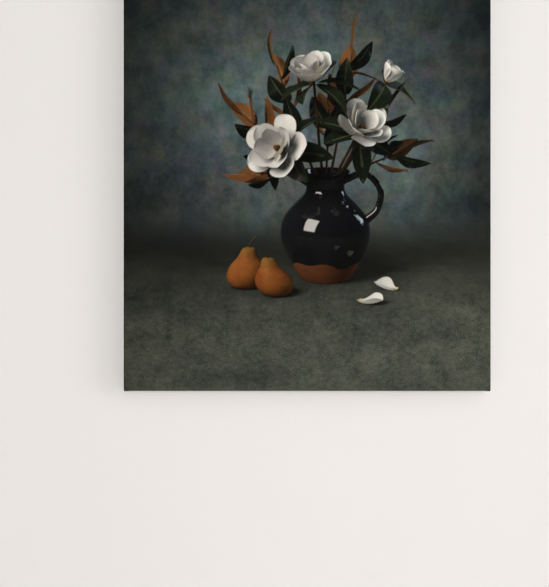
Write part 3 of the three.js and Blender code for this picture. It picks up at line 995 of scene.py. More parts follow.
def buildCloth():
    mesh = ClothMesh()
    printEnd, beside = backStart + cloth["printBeyondEdge"], 0.1 * mm
    distances = [
        0.3 * mm, *np.linspace(0, roundLength, 6)[1:],
        *np.linspace(roundLength, roundLength + sideLength, 7)[1:],
        *np.linspace(roundLength + sideLength, backStart, 6)[1:],
        printEnd - beside, printEnd + beside,
        *np.linspace(printEnd, cutAt, 5)[1:],
    ]
    stops = np.arange(0, len(ringAlong) + cloth["raggedEvery"], cloth["raggedEvery"])
    uneven = np.random.default_rng(cloth["raggedSeed"]).uniform(-1, 1, len(stops))
    ragged = cloth["ragged"] * np.interp(np.arange(len(ringAlong)), stops, uneven)
    # Outer surface
    corner = mesh.addFlat(used, clothFront, ink[used])
    mesh.addFaces(cellFaces(cellSize, corner), "printed")
    last = rimOf(corner)
    for q in distances:
        shown = mirroredPrint(*ringBase.T, *ringOut.T, np.full(len(ringAlong), q))
        following = addRing(mesh, q, 0.0, shown, ragged * (q == distances[-1]))
        mesh.addStrip(following, last, "printed")
        last = following
    # Inner surface, from the cut edge back to the front
    raw = (*hexColour(cloth["raw"]), 0, 0)
    for q in distances[::-3]:
        atCut = q == distances[-1]
        following = addRing(mesh, q, -thickness, raw, ragged * atCut)
        mesh.addStrip(following, last, "cut" if atCut else "raw")
        last = following
    kept = np.zeros_like(used)
    kept[::coarsest, ::coarsest] = True
    kept[0], kept[-1], kept[:, 0], kept[:, -1] = used[0], used[-1], used[:, 0], used[:, -1]
    corner = mesh.addFlat(kept, clothFront + thickness, raw)
    mesh.addStrip(rimOf(corner), last, "raw")
    inner = cellFaces(np.full_like(cellSize, coarsest), corner)
    mesh.addFaces([face[::-1] for face in inner], "raw")
    return mesh


def addFold(mesh, name, end):
    # A tucked corner: doubled cloth that widens down the rail's side and ends in a tip on its back
    side, square = sides[name], cloth["cornerSquareness"]
    (ox, oz), ax = side["out"], side["along"][0]
    first, tip = roundLength * 0.8, backStart + folds["depth"] - edgeRadius
    stretches = ((first, roundLength + sideLength, 12), (backStart - roundLength, backStart, 6),
                 (backStart, tip, 8))
    q = np.concatenate([np.linspace(*stretch)[k > 0:] for k, stretch in enumerate(stretches)])
    share, height = np.array(folds["section"]).T
    down = np.clip((q - first) / (backStart - roundLength / 2 - first), 0.02, 1)
    onBack = np.clip((q - backStart + edgeRadius) / folds["depth"], 0, 1)
    near = folds["inset"] + folds["base"] / 2 * onBack
    far = np.maximum(folds["base"] * (down - onBack / 2), near + folds["narrowest"])
    q, inward = np.broadcast_arrays(q[:, None], near[:, None] + (far - near)[:, None] * share)
    along = end * (halfWidth - inward)
    puff = puffed(name, along, q)
    baseX = np.clip(ax * along, -faceHalfWidth, faceHalfWidth).ravel()
    baseZ = oz * side["away"] + 0 * q.ravel()
    inks = mirroredPrint(baseX, baseZ, 0.0, oz, q.ravel())
    flat = np.stack([(ax * along).ravel(), baseZ + oz * q.ravel()], 1)
    layers = []
    for lift in (folds["clearance"] + 0 * height, folds["clearance"] + folds["rise"] * height):
        outward, deep = overEdge(q, lift)
        # Round the picture's corner
        beyond = np.clip((edgeRadius - inward) / np.maximum(outward, 0.1 * mm), 0, 1)
        outward = np.where(outward > 0, outward * (1 - beyond ** square) ** (1 / square), outward)
        base = side["away"] + outward
        points = worldPoint((ax * along).ravel(), (oz * base).ravel(), (deep + puff).ravel())
        layers.append(mesh.add(points, flat, inks).reshape(q.shape))
    low, high = layers
    turned = 1 if end * ax * oz > 0 else -1
    faces = []
    for grid, way in ((high, turned), (low, -turned)):
        for i, j in np.ndindex(grid.shape[0] - 1, grid.shape[1] - 1):
            faces.append([grid[i, j], grid[i, j + 1], grid[i + 1, j + 1], grid[i + 1, j]][::way])
    under, over = ([*g[0, :-1], *g[:-1, -1], *g[-1, :0:-1], *g[:0:-1, 0]] for g in layers)
    faces += [rim[::-turned] for rim in zip(over, np.roll(over, -1), np.roll(under, -1), under)]
    mesh.addFaces([[int(k) for k in face] for face in faces], "fold")


# The square that the cloth's finish is kept on, in metres of flat cloth
finishMap = {
    "side": 0.94,
    "printedAt": (0.358, 0.460),  # middle of the printed side
    "small": 0.24,  # size of what isn't printed, against the printed side
    "rawAt": (0.816, 0.460),  # middle of the inner side
    "foldsAt": (-0.055, 0.2232),  # of each corner's fold, outward from where it would be on the inner side
}


def placeOnMap(kind, flat):
    if kind in ("printed", "cut"):
        return (flat + finishMap["printedAt"]) / finishMap["side"]
    place = flat * finishMap["small"] + finishMap["rawAt"]
    if kind == "fold":
        place = place + np.sign(flat.mean(0)) * finishMap["foldsAt"]
    return place / finishMap["side"]


def finishCloth():
    mesh = buildCloth()
    for name in ("top", "bottom"):
        for end in (-1, 1):
            addFold(mesh, name, end)
    points, flat, inks = (np.concatenate(part) for part in (mesh.points, mesh.flat, mesh.ink))
    loopFlat = flat[np.concatenate(mesh.places)]
    kept, renumbered = np.unique(np.concatenate(mesh.faces), return_inverse=True)
    ends = np.cumsum([len(face) for face in mesh.faces])[:-1]
    faces = [part.tolist() for part in np.split(renumbered, ends)]
    points, inks = points[kept], inks[kept]
    data = newMesh("canvas_picture", points, faces)
    colour = data.attributes.new("ink", "FLOAT_COLOR", "POINT")
    colour.data.foreach_set("color", np.column_stack([inks[:, :3], np.ones(len(inks))]).ravel())
    ground = data.attributes.new("ground", "FLOAT_VECTOR", "POINT")
    ground.data.foreach_set("vector", np.column_stack([inks[:, 3:], np.zeros(len(inks))]).ravel())
    onMap = [placeOnMap(kind, part) for kind, part in zip(mesh.kinds, np.split(loopFlat, ends))]
    for name, places in (("cloth", loopFlat), ("OFBake", np.concatenate(onMap))):
        data.uv_layers.new(name=name).data.foreach_set("uv", places.ravel())
    data.polygons.foreach_set("material_index", [int(kind in ("raw", "cut")) for kind in mesh.kinds])
    print(f"cloth: {len(points)} points, {sum(len(f) - 2 for f in faces)} triangles")
    return data


# How the cloth is seen
weave = {
    # The real threads are 0.55 mm apart, too fine to show here, so they are drawn 1.9 mm apart
    "pitch": 1.9 * mm,
    "wander": 0.4 * mm,  # how far a thread strays from straight
    "wanderSize": 16.67 * mm,  # from where it strays one way to where it strays the other
    "depth": 0.16 * mm,
}
inkTexture = {
    "patterns": {  # size in millimetres across and up, and detail
        "wide": (29.41, 36.76, 4.0),
        "middle": (8.333, 8.333, 3.0),
        "fine": (2.381, 2.381, 2.0),
        "blotches": (10.526, 7.018, 4.0),
        "grit": (2.3148, 1.7361, 2.0),
        "specks": (4.167, 2.381, 1.0),
    },
    # what each gives to the light and dark of the backdrop and of the table, and to their colours
    "backdrop": {"wide": 1.3, "middle": 0.5, "fine": 0.5},
    "table": {"wide": 0.9, "blotches": 1.1, "grit": 1.3, "specks": 0.8},
    "colour": {"wide": 1.5, "middle": 0.4, "fine": 0.4},
    "colourOf": (0.12, 0.33),  # how much of that colour the table and the backdrop show
}
rawTexture = {  # sizes in millimetres, across and along
    "slub": (3.3333, 45.45),
    "patches": (111.1, 111.1),
    "dark": "#c6bba3",
    "light": "#f0eadc",
}


def addWeave(tree, strength):
    # Plain weave from the cloth's own flat map: each crossing is a pillow, rounder across the thread on top
    flat = addNode(tree, "ShaderNodeUVMap", uv_map="cloth").outputs["UV"]
    stray = addNode(tree, "ShaderNodeTexNoise", {
        "Vector": flat, "Scale": 1 / weave["wanderSize"], "Detail": 2.0}, noise_dimensions="2D")
    moved = weightedSum(tree, "ShaderNodeVectorMath", (-weave["wander"],) * 3,
                        (stray.outputs["Color"], (2 * weave["wander"],) * 3), (flat, (1, 1, 1)))
    turned = addNode(tree, "ShaderNodeVectorMath", {0: moved, 3: math.pi / weave["pitch"]}, operation="SCALE")
    waves = addNode(tree, "ShaderNodeVectorMath", {0: turned}, operation="SINE")
    warp, weft, _ = addNode(tree, "ShaderNodeSeparateXYZ", {0: waves}).outputs
    crossing = addNode(tree, "ShaderNodeMath", {0: warp, 1: weft}, operation="MULTIPLY")
    over = addNode(tree, "ShaderNodeMath", {0: crossing}, operation="SIGN")
    rounds = []
    for wave, turn in ((warp, 0.2), (weft, -0.2)):
        height = addNode(tree, "ShaderNodeMath", {0: wave}, operation="ABSOLUTE")
        roundness = weightedSum(tree, "ShaderNodeMath", 0.45, (over, turn))
        rounds.append(addNode(tree, "ShaderNodeMath", {0: height, 1: roundness}, operation="POWER"))
    threads = addNode(tree, "ShaderNodeMath", {0: rounds[0], 1: rounds[1]}, operation="MULTIPLY")
    bump = addNode(tree, "ShaderNodeBump", {
        "Strength": strength, "Distance": weave["depth"], "Height": threads})
    return flat, threads, bump


def addClouds(tree, flat, wide, high, detail=3.0):
    # Clouds of a size in millimetres on the flat cloth, in tone and in colour, with 0 as their middle
    sized = addNode(tree, "ShaderNodeMapping", {
        "Vector": flat, "Scale": (1 / (wide * mm), 1 / (high * mm), 1)})
    clouds = addNode(tree, "ShaderNodeTexNoise", {
        "Vector": sized, "Scale": 1.0, "Detail": detail, "Roughness": 0.6}, noise_dimensions="2D")
    tone = addNode(tree, "ShaderNodeMath", {0: clouds, 1: 0.5}, operation="SUBTRACT")
    colour = addNode(tree, "ShaderNodeVectorMath", {0: clouds.outputs["Color"], 1: (0.5, 0.5, 0.5)},
                     operation="SUBTRACT")
    return tone, colour


def printedCotton():
    # Cotton canvas, primed, inkjet printed and given a matt coat: dull, with a fine mottle in the ink where
    # the backdrop was brushed, and blotches and grit where the table was, with painted shade in the weave's
    # hollows and painted light on its tops
    material, tree, shader = newMaterial("printedCottonMattCoat", {
        "Roughness": 0.74, "Specular IOR Level": 0.04})
    flat, threads, normal = addWeave(tree, 0.45)
    ink = addNode(tree, "ShaderNodeAttribute", attribute_name="ink").outputs["Color"]
    ground = addNode(tree, "ShaderNodeAttribute", attribute_name="ground").outputs["Vector"]
    onTable, onBackdrop, _ = addNode(tree, "ShaderNodeSeparateXYZ", {0: ground}).outputs
    tones, colours = {}, {}
    for name, pattern in inkTexture["patterns"].items():
        tones[name], colours[name] = addClouds(tree, flat, *pattern)
    tones["specks"] = addNode(tree, "ShaderNodeMapRange", {
        "Value": tones["specks"], "From Min": 0.18, "From Max": 0.30})
    light = 1.0
    for area, there in (("backdrop", onBackdrop), ("table", onTable)):
        parts = [(tones[name], share) for name, share in inkTexture[area].items()]
        mottle = weightedSum(tree, "ShaderNodeMath", 0.0, *parts)
        light = weightedSum(tree, "ShaderNodeMath", light, (mottle, there))
    # Painted shade in the weave's hollows and painted light on its tops, from the threads' height
    weaveShade = weightedSum(tree, "ShaderNodeMath", 0.95, (threads, 0.10))
    ofTable, ofBackdrop = inkTexture["colourOf"]
    hueShare = weightedSum(tree, "ShaderNodeMath", 0.0, (onTable, ofTable), (onBackdrop, ofBackdrop))
    parts = [(colours[name], (share,) * 3) for name, share in inkTexture["colour"].items()]
    hue = weightedSum(tree, "ShaderNodeVectorMath", (0, 0, 0), *parts)
    hue = weightedSum(tree, "ShaderNodeVectorMath", (1, 1, 1), (hue, hueShare))
    shown = ink
    for factor in (hue, light, weaveShade):
        shown = addNode(tree, "ShaderNodeVectorMath", {0: shown, 1: factor}, operation="MULTIPLY")
    setInputs(tree, shader, {"Base Color": shown, "Normal": normal})
    return material


def rawCotton():
    # Unbleached cotton canvas, woven: dry and cream, painted shade between the threads, some thicker threads
    material, tree, shader = newMaterial("rawCottonCanvas", {"Roughness": 0.92, "Specular IOR Level": 0.2,
                                                             "Sheen Weight": 0.15})
    flat, threads, normal = addWeave(tree, 0.8)
    slubs = [(addClouds(tree, flat, *size)[0], 0.7)
             for size in (rawTexture["slub"], rawTexture["slub"][::-1], rawTexture["patches"])]
    # Painted shade between the threads and painted light on their tops, from the threads' height
    tone = weightedSum(tree, "ShaderNodeMath", 0.42, *slubs, (threads, 0.45))
    cotton = addNode(tree, "ShaderNodeMix", {"Factor": tone, 6: rawTexture["dark"], 7: rawTexture["light"]},
                     data_type="RGBA")
    setInputs(tree, shader, {"Base Color": cotton.outputs[2], "Normal": normal})
    return material


canvas = addObject("canvas_picture", finishCloth(), printedCotton(), rawCotton())

# Loose threads along the cut edge, and the staples: both stand at points made here
fray = {"spacing": 2.6 * mm, "length": 3.4 * mm, "radius": 0.12 * mm, "seed": 3}
staple = {
    "crown": 10 * mm,
    "leg": 6.5 * mm,
    "width": 0.8 * mm,
    "height": 0.5 * mm,
    "bend": 0.7 * mm,
    "wireEdge": 0.12 * mm,  # rounding along the wire
    "seed": 6,
}


def newTree(name, inputs):
    # Each tree takes its base, what is named here and the material that it ends in
    tree = bpy.data.node_groups.new(name, "GeometryNodeTree")
    for label, kind in {"Geometry": "Geometry", **inputs, "Finish": "Material"}.items():
        tree.interface.new_socket(label, in_out="INPUT", socket_type=f"NodeSocket{kind}")
    tree.interface.new_socket("Geometry", in_out="OUTPUT", socket_type="NodeSocketGeometry")
    return tree, addNode(tree, "NodeGroupInput").outputs


def endTree(tree, given, geometry):
    realized = addNode(tree, "GeometryNodeRealizeInstances", {"Geometry": geometry})
    finished = addNode(tree, "GeometryNodeSetMaterial", {"Geometry": realized, "Material": given["Finish"]})
    addNode(tree, "NodeGroupOutput", {"Geometry": finished})
    return tree


def plainMesh(obj):
    # What the modifiers make, as the object's own mesh
    evaluated = obj.evaluated_get(bpy.context.evaluated_depsgraph_get())
    made = bpy.data.meshes.new_from_object(evaluated)
    obj.modifiers.clear()
    obj.data = made
    made.name = obj.name
    return obj


def runTree(name, tree, base, values, material):
    # Sets the tree's inputs, runs it on the base mesh and keeps the result
    source = addObject(name, base)
    modifier = source.modifiers.new("build", "NODES")
    modifier.node_group = tree
    values = {**values, "Finish": material}
    for item in tree.interface.items_tree:
        if item.in_out == "INPUT" and item.name in values:
            modifier[item.identifier] = values[item.name]
    plainMesh(source)
    # The evaluated mesh starts with an empty slot, which goes
    source.data.materials.clear()
    source.data.materials.append(material)
    return source


def stapleTree():
    sizes = ("Crown", "Leg", "Wire Width", "Wire Height", "Bend")
    tree, given = newTree("staples", dict.fromkeys(sizes, "Float"))
    line = addNode(tree, "GeometryNodeCurvePrimitiveLine")
    four = addNode(tree, "GeometryNodeResampleCurve", {"Curve": line, "Count": 4})
    index = addNode(tree, "GeometryNodeInputIndex")
    fromMiddle = addNode(tree, "ShaderNodeMath", {0: index, 1: 1.5}, operation="SUBTRACT")
    side = addNode(tree, "ShaderNodeMath", {0: fromMiddle}, operation="SIGN")
    away = addNode(tree, "ShaderNodeMath", {0: fromMiddle}, operation="ABSOLUTE")
    isLeg = addNode(tree, "ShaderNodeMath", {0: away, 1: 1.0}, operation="GREATER_THAN")
    reach = addNode(tree, "ShaderNodeCombineXYZ", {"X": given["Crown"], "Y": given["Leg"]})
    corner = addNode(tree, "ShaderNodeCombineXYZ", {"X": side, "Y": isLeg})
    for factor in (reach, (0.5, -1, 0)):
        corner = addNode(tree, "ShaderNodeVectorMath", {0: corner, 1: factor}, operation="MULTIPLY")
    placed = addNode(tree, "GeometryNodeSetPosition", {"Geometry": four, "Position": corner})
    bent = addNode(tree, "GeometryNodeFilletCurve", {"Curve": placed, "Radius": given["Bend"], "Count": 4},
                   mode="POLY")
    wire = addNode(tree, "GeometryNodeCurvePrimitiveQuadrilateral",
                   {"Width": given["Wire Width"], "Height": given["Wire Height"]})
    softened = addNode(tree, "GeometryNodeFilletCurve", {
        "Curve": wire, "Radius": staple["wireEdge"], "Count": 1}, mode="POLY")
    upright = addNode(tree, "GeometryNodeSetCurveNormal", {"Curve": bent}, mode="Z_UP")
    shape = addNode(tree, "GeometryNodeCurveToMesh", {
        "Curve": upright, "Profile Curve": softened, "Fill Caps": True})
    turn = addNode(tree, "GeometryNodeInputNamedAttribute", {"Name": "turn"}, data_type="FLOAT_VECTOR")
    points = addNode(tree, "GeometryNodeInstanceOnPoints", {
        "Points": given["Geometry"], "Instance": shape, "Rotation": turn.outputs["Attribute"]})
    return endTree(tree, given, points)


def threadTree():
    tree, given = newTree("looseThreads", {
        "Spacing": "Float", "Length": "Float", "Radius": "Float", "Seed": "Int"})
    edge = addNode(tree, "GeometryNodeMeshToCurve", {"Mesh": given["Geometry"]})
    spaced = addNode(tree, "GeometryNodeResampleCurve", {"Curve": edge, "Length": given["Spacing"]},
                     mode="LENGTH")
    strand = addNode(tree, "GeometryNodeCurvePrimitiveBezierSegment", {
        "Resolution": 3, "Start": (0, 0, 0), "Start Handle": (0.4, 0.0, 0.04),
        "End Handle": (0.8, 0.12, 0.10), "End": (1.0, 0.20, 0.08)})
    sized = addNode(tree, "GeometryNodeTransform", {"Geometry": strand, "Scale": given["Length"]})
    section = addNode(tree, "GeometryNodeCurvePrimitiveCircle", {"Resolution": 4, "Radius": given["Radius"]})
    shape = addNode(tree, "GeometryNodeCurveToMesh", {
        "Curve": sized, "Profile Curve": section, "Fill Caps": True})
    inward = addNode(tree, "GeometryNodeInputNamedAttribute", {"Name": "inward"}, data_type="FLOAT_VECTOR")
    spread = addNode(tree, "FunctionNodeRandomValue", {0: (-0.6, -0.06, -0.6), 1: (0.6, 0.02, 0.6),
                                                       "Seed": given["Seed"]}, data_type="FLOAT_VECTOR")
    heading = addNode(tree, "ShaderNodeVectorMath", {0: inward.outputs["Attribute"], 1: spread},
                      operation="ADD")
    aligned = addNode(tree, "FunctionNodeAlignEulerToVector", {"Vector": heading}, axis="X")
    size = addNode(tree, "FunctionNodeRandomValue", {2: 0.3, 3: 1.2, "Seed": given["Seed"]},
                   data_type="FLOAT")
    chosen = addNode(tree, "FunctionNodeRandomValue", {"Probability": 0.6, "Seed": given["Seed"]},
                     data_type="BOOLEAN")
    points = addNode(tree, "GeometryNodeInstanceOnPoints", {
        "Points": spaced, "Selection": chosen.outputs[3], "Instance": shape, "Rotation": aligned,
        "Scale": size.outputs[1]})
    return endTree(tree, given, points)


def pointMesh(name, points, edges, attribute, vectors):
    mesh = bpy.data.meshes.new(name)
    mesh.from_pydata(np.asarray(points).tolist(), edges, [])
    found = mesh.attributes.new(attribute, "FLOAT_VECTOR", "POINT")
    found.data.foreach_set("vector", np.ravel(vectors))
    return mesh


def cutEdgeMesh():
    points, _ = ringPoints(cutAt, -thickness / 2)
    apart = [k for k in range(len(points)) if np.linalg.norm(points[k] - points[k - 1]) > 1e-6]
    inward = np.insert(-ringInto[apart], 1, 0, axis=1)
    edges = [(k, (k + 1) % len(apart)) for k in range(len(apart))]
    return pointMesh("cut_edge", points[apart], edges, "inward", inward)


def staplePointMesh():
    chance = random.Random(staple["seed"])
    points, turns = [], []
    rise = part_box("staple_top_1")[1].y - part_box("staple_top_3")[1].y
    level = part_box("staple_top_3")[1].y - staple["height"] / 2
    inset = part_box("bar_top")[1].z - (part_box("staple_top_3")[0].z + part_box("staple_top_3")[1].z) / 2
    for side in sides.values():
        (ox, oz), (ax, az) = side["out"], side["along"]
        away = side["away"] + edgeRadius - wrap - inset
        for along in side["staples"]:
            onFold = bool(ax) and abs(along) > halfWidth - folds["base"] + inset
            x, z = ox * away + abs(ax) * along, oz * away + abs(az) * along
            points.append((x, level + rise * onFold, z + middleHeight))
            turns.append((0, (0 if ax else math.pi / 2) + math.radians(chance.uniform(-3, 3)), 0))
    return pointMesh("staple_places", points, [], "turn", turns)


def addGrain(tree, size, detail=4.0, roughness=0.5, at=None, turned=(0, 0, 0)):
    # Clouds of a size in millimetres in each direction, in the piece's own space
    at = at or addNode(tree, "ShaderNodeTexCoord").outputs["Object"]
    scale = [1 / (side * mm) for side in size]
    sized = addNode(tree, "ShaderNodeMapping", {"Vector": at, "Rotation": turned, "Scale": scale})
    return addNode(tree, "ShaderNodeTexNoise", {
        "Vector": sized, "Scale": 1.0, "Detail": detail, "Roughness": roughness})


def zincPlatedSteel():
    # Steel, drawn or stamped and then zinc plated: bright with a faint blue cast, cloudy, with fine scratches
    material, tree, shader = newMaterial("zincPlatedSteel", {"Metallic": 1.0})
    cloud = addGrain(tree, (3.85,) * 3, roughness=0.55)
    scratches = addGrain(tree, (5.556, 0.3846, 0.3846), 2.0, turned=(0, 0.3, 0))
    tone = addNode(tree, "ShaderNodeMix", {"Factor": cloud, 6: "#b3b8bc", 7: "#d3d7da"}, data_type="RGBA")
    rough = addNode(tree, "ShaderNodeMapRange", {
        "Value": cloud, "From Min": 0.3, "From Max": 0.7, "To Min": 0.30, "To Max": 0.42})
    bump = addNode(tree, "ShaderNodeBump", {"Strength": 0.3, "Distance": 0.04 * mm, "Height": scratches})
    setInputs(tree, shader, {"Base Color": tone.outputs[2], "Roughness": rough, "Normal": bump})
    return material


zinc = zincPlatedSteel()
threads = runTree("loose_threads", threadTree(), cutEdgeMesh(),
                  {name.capitalize(): value for name, value in fray.items()}, canvas.data.materials[1])
staples = runTree("staples", stapleTree(), staplePointMesh(), {
    "Crown": staple["crown"] - staple["height"], "Leg": staple["leg"], "Wire Width": staple["width"],
    "Wire Height": staple["height"], "Bend": staple["bend"]}, zinc)
print(f"threads: {len(threads.data.polygons)} faces, staples: {len(staples.data.polygons)} faces")


# Pine bars and brace: planed boards, each cut from its own part of a tree
pine = {
    # Sizes of its patterns in millimetres, along the board and across it. Their last digits count, because
    # each board is cut far from the pattern's middle.
    "rings": 3.1,
    "knots": 181.8182,
    "waves": (751.8797, 26.31579, 26.31579),
    "fibres": (55.55556, 0.7142857, 0.7142857),
    "patches": (142.8571, 142.8571, 142.8571),
    "farthest": 5,  # metres from the pattern's middle, each way
    # across one ring: at its start, at its end, and then in between
    "growth": ((0.0, "#eedcb9"), (1.0, "#ecd8b1"), (0.55, "#e6cfa3"), (0.86, "#d3ad78"), (0.94, "#c79c67")),
    "warm": "#e0c493",
    "knot": "#7a4a26",
}


def planedPine(name, along, seed):
    # Planed pine: pale bands of spring growth between thin darker ones, small knots, and a dull silky face
    material, tree, shader = newMaterial(name, {"Specular IOR Level": 0.4})
    chance = random.Random(seed)
    board = addNode(tree, "ShaderNodeMapping", {
        "Vector": addNode(tree, "ShaderNodeTexCoord").outputs["Object"],
        "Rotation": (0, 0, 0) if along == "x" else (0, math.pi / 2, 0),
        "Location": [chance.uniform(-pine["farthest"], pine["farthest"]) for _ in range(3)]}).outputs[0]
    knots = addNode(tree, "ShaderNodeTexVoronoi", {"Vector": board, "Scale": 1 / (pine["knots"] * mm)})
    knotAt = addNode(tree, "ShaderNodeMapRange", {
        "Value": knots, "From Max": 0.11, "To Min": 1.0, "To Max": 0.0}, interpolation_type="SMOOTHSTEP")
    wavy = addGrain(tree, pine["waves"], 3.0, at=board)
    _, y, z = addNode(tree, "ShaderNodeSeparateXYZ", {0: board}).outputs
    pushed = weightedSum(tree, "ShaderNodeMath", y, (z, 0.55), (wavy, 0.024), (knotAt, 0.012))
    turns = addNode(tree, "ShaderNodeMath", {0: pushed, 1: 1 / (pine["rings"] * mm)}, operation="MULTIPLY")
    phase = addNode(tree, "ShaderNodeMath", {0: turns}, operation="FRACT")
    rings = addNode(tree, "ShaderNodeValToRGB", {"Fac": phase})
    stops = rings.color_ramp.elements
    for k, (position, code) in enumerate(pine["growth"]):
        stop = stops[k] if k < 2 else stops.new(position)
        stop.color = (*hexColour(code), 1.0)
    fibres = addGrain(tree, pine["fibres"], at=board)
    patchy = addNode(tree, "ShaderNodeMath", {0: addGrain(tree, pine["patches"], 2.0, at=board), 1: 0.35},
                     operation="MULTIPLY")
    shown = rings.outputs[0]
    for share, other, blending in ((0.22, fibres, "OVERLAY"), (patchy, pine["warm"], "MULTIPLY"),
                                   (knotAt, pine["knot"], "MIX")):
        shown = addNode(tree, "ShaderNodeMix", {"Factor": share, 6: shown, 7: other}, data_type="RGBA",
                        blend_type=blending).outputs[2]
    rough = addNode(tree, "ShaderNodeMapRange", {"Value": phase, "To Min": 0.66, "To Max": 0.5})
    bump = addNode(tree, "ShaderNodeBump", {"Strength": 0.35, "Distance": 0.12 * mm, "Height": fibres})
    setInputs(tree, shader, {"Base Color": shown, "Roughness": rough, "Normal": bump})
    return material


for number, node in enumerate(("bar_top", "bar_bottom", "brace", "bar_left", "bar_right")):
    along = "z" if node in ("bar_left", "bar_right") else "x"
    bar = bpy.data.objects[node].data.materials
    bar.clear()
    bar.append(planedPine(f"planedPine_{node}", along, 20 + number))

# Fittings: the keys and the hanger with their edges broken, turned screws and bumpers
edgeWidths = {"keys": 0.4 * mm, "hanger": 0.16 * mm}
screw = {
    "sides": 40,
    "recess": (2.7 * mm, 0.75 * mm, 0.6 * mm),  # length, width and depth of each arm of its cross
    # from the top of the head: radius and depth, in millimetres
    "profile": ((0, 0), (0.7, 0.02), (1.3, 0.09), (1.8, 0.24), (2.15, 0.45), (2.36, 0.68), (2.4, 0.9),
                (1.1, 0.9), (1.1, 10.5), (0, 12.9)),
    "seed": 5,
}
bumper = {
    "sides": 48,
    # from the face that meets the wall: a shallow dish, a rounded rim and a straight side
    "profile": ((0, 0.22), (1.6, 0.17), (2.8, 0.07), (3.7, 0.0), (4.1, 0.06), (4.5, 0.24), (4.75, 0.52),
                (4.85, 0.85), (5.0, 2.7), (0, 2.7)),
    "seed": 7,
}


def sawnBeech():
    # Beech, sawn and stamped into wedges: pinkish brown with short darker flecks
    material, tree, shader = newMaterial("sawnBeech", {"Specular IOR Level": 0.4})
    flecks = addGrain(tree, (1.111, 1.111, 6.25), 3.0)
    dark = addNode(tree, "ShaderNodeMapRange", {"Value": flecks, "From Min": 0.48, "From Max": 0.75})
    tone = addNode(tree, "ShaderNodeMix", {"Factor": dark, 6: "#d9b68c", 7: "#b58558"}, data_type="RGBA")
    rough = addNode(tree, "ShaderNodeMapRange", {"Value": flecks, "To Min": 0.5, "To Max": 0.7})
    bump = addNode(tree, "ShaderNodeBump", {"Strength": 0.3, "Distance": 0.1 * mm, "Height": flecks})
    setInputs(tree, shader, {"Base Color": tone.outputs[2], "Roughness": rough, "Normal": bump})
    return material


def mouldedRubber():
    # Moulded rubber: near black and dull, with a little dust
    material, tree, shader = newMaterial("mouldedRubber", {"Specular IOR Level": 0.35})
    dust = addGrain(tree, (1.429,) * 3, roughness=0.55)
    dusty = addNode(tree, "ShaderNodeMapRange", {"Value": dust, "From Min": 0.45, "From Max": 0.85})
    tone = addNode(tree, "ShaderNodeMix", {"Factor": dusty, 6: "#232324", 7: "#3a3a39"}, data_type="RGBA")
    rough = addNode(tree, "ShaderNodeMapRange", {"Value": dust, "To Min": 0.5, "To Max": 0.75})
    bump = addNode(tree, "ShaderNodeBump", {"Strength": 0.1, "Distance": 0.03 * mm, "Height": dust})
    setInputs(tree, shader, {"Base Color": tone.outputs[2], "Roughness": rough, "Normal": bump})
    return material


def nodesNamed(start):
    return [node for node in frame["nodes"] if node.startswith(start)]


def edgesBroken(name, nodes, width, material):
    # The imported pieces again, as one mesh with every edge slightly rounded
    shell = bmesh.new()
    for node in nodes:
        shell.from_mesh(bpy.data.objects[node].data)
    bmesh.ops.remove_doubles(shell, verts=shell.verts, dist=0.004 * mm)
    bmesh.ops.dissolve_limit(shell, angle_limit=math.radians(2), verts=shell.verts, edges=shell.edges)
    mesh = bpy.data.meshes.new(name)
    shell.to_mesh(mesh)
    shell.free()
    mesh.shade_smooth()
    obj = addObject(name, mesh, material)
    bevel = obj.modifiers.new("edges", "BEVEL")
    bevel.width, bevel.segments, bevel.angle_limit, bevel.harden_normals = width, 3, math.radians(25), True
    return plainMesh(obj)


def turnedPiece(name, shape, node):
    # A closed shape turned about the y axis, from a profile of radii and of depths below the node's back
    sides, profile, backAt = shape["sides"], shape["profile"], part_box(node)[1].y
    counts = [sides if radius else 1 for radius, _ in profile]
    points, faces = [], []
    for (radius, depth), count in zip(profile, counts):
        points += [(radius * mm * math.cos(a), backAt - depth * mm, radius * mm * math.sin(a))
                   for a in (2 * math.pi * k / sides for k in range(count))]
    starts = np.cumsum([0] + counts)
    for first, second, one, two in zip(starts, starts[1:], counts, counts[1:]):
        for k in range(sides):
            after = (k + 1) % sides
            face = (first + k % one, first + after % one, second + after % two, second + k % two)
            faces.append(list(dict.fromkeys(int(i) for i in face)))
    mesh = newMesh(name, points, faces)
    mesh.set_sharp_from_angle(angle=math.radians(40))
    return addObject(name, mesh)


def crossCut(obj, length, width, depth):
    # Cuts a cross-shaped recess, narrower at its bottom, into the end of a turned piece
    top = max(v.co.y for v in obj.data.vertices)
    a, b = length / 2, width / 2
    quarter = ((a, b), (b, b), (b, a))
    outline = [*quarter, *((-x, z) for x, z in quarter[::-1]), *((-x, -z) for x, z in quarter),
               *((x, -z) for x, z in quarter[::-1])]
    ends = ((top + depth, 1.2), (top - depth, 0.8))
    points = [(x * share, y, z * share) for y, share in ends for x, z in outline]
    count = len(outline)
    faces = [range(count)[::-1], range(count, 2 * count)]
    faces += [(k, (k + 1) % count, count + (k + 1) % count, count + k) for k in range(count)]
    cutter = addObject("cutter", newMesh("cutter", points, faces, smooth=False))
    cut = obj.modifiers.new("cut", "BOOLEAN")
    cut.operation, cut.object, cut.solver = "DIFFERENCE", cutter, "EXACT"
    plainMesh(obj)
    bpy.data.objects.remove(cutter)
    return obj


def placesTree():
    tree, given = newTree("placed", {"Piece": "Object"})
    piece = addNode(tree, "GeometryNodeObjectInfo", {"Object": given["Piece"]})
    turn = addNode(tree, "GeometryNodeInputNamedAttribute", {"Name": "turn"}, data_type="FLOAT_VECTOR")
    points = addNode(tree, "GeometryNodeInstanceOnPoints", {
        "Points": given["Geometry"], "Instance": piece.outputs["Geometry"],
        "Rotation": turn.outputs["Attribute"]})
    return endTree(tree, given, points)


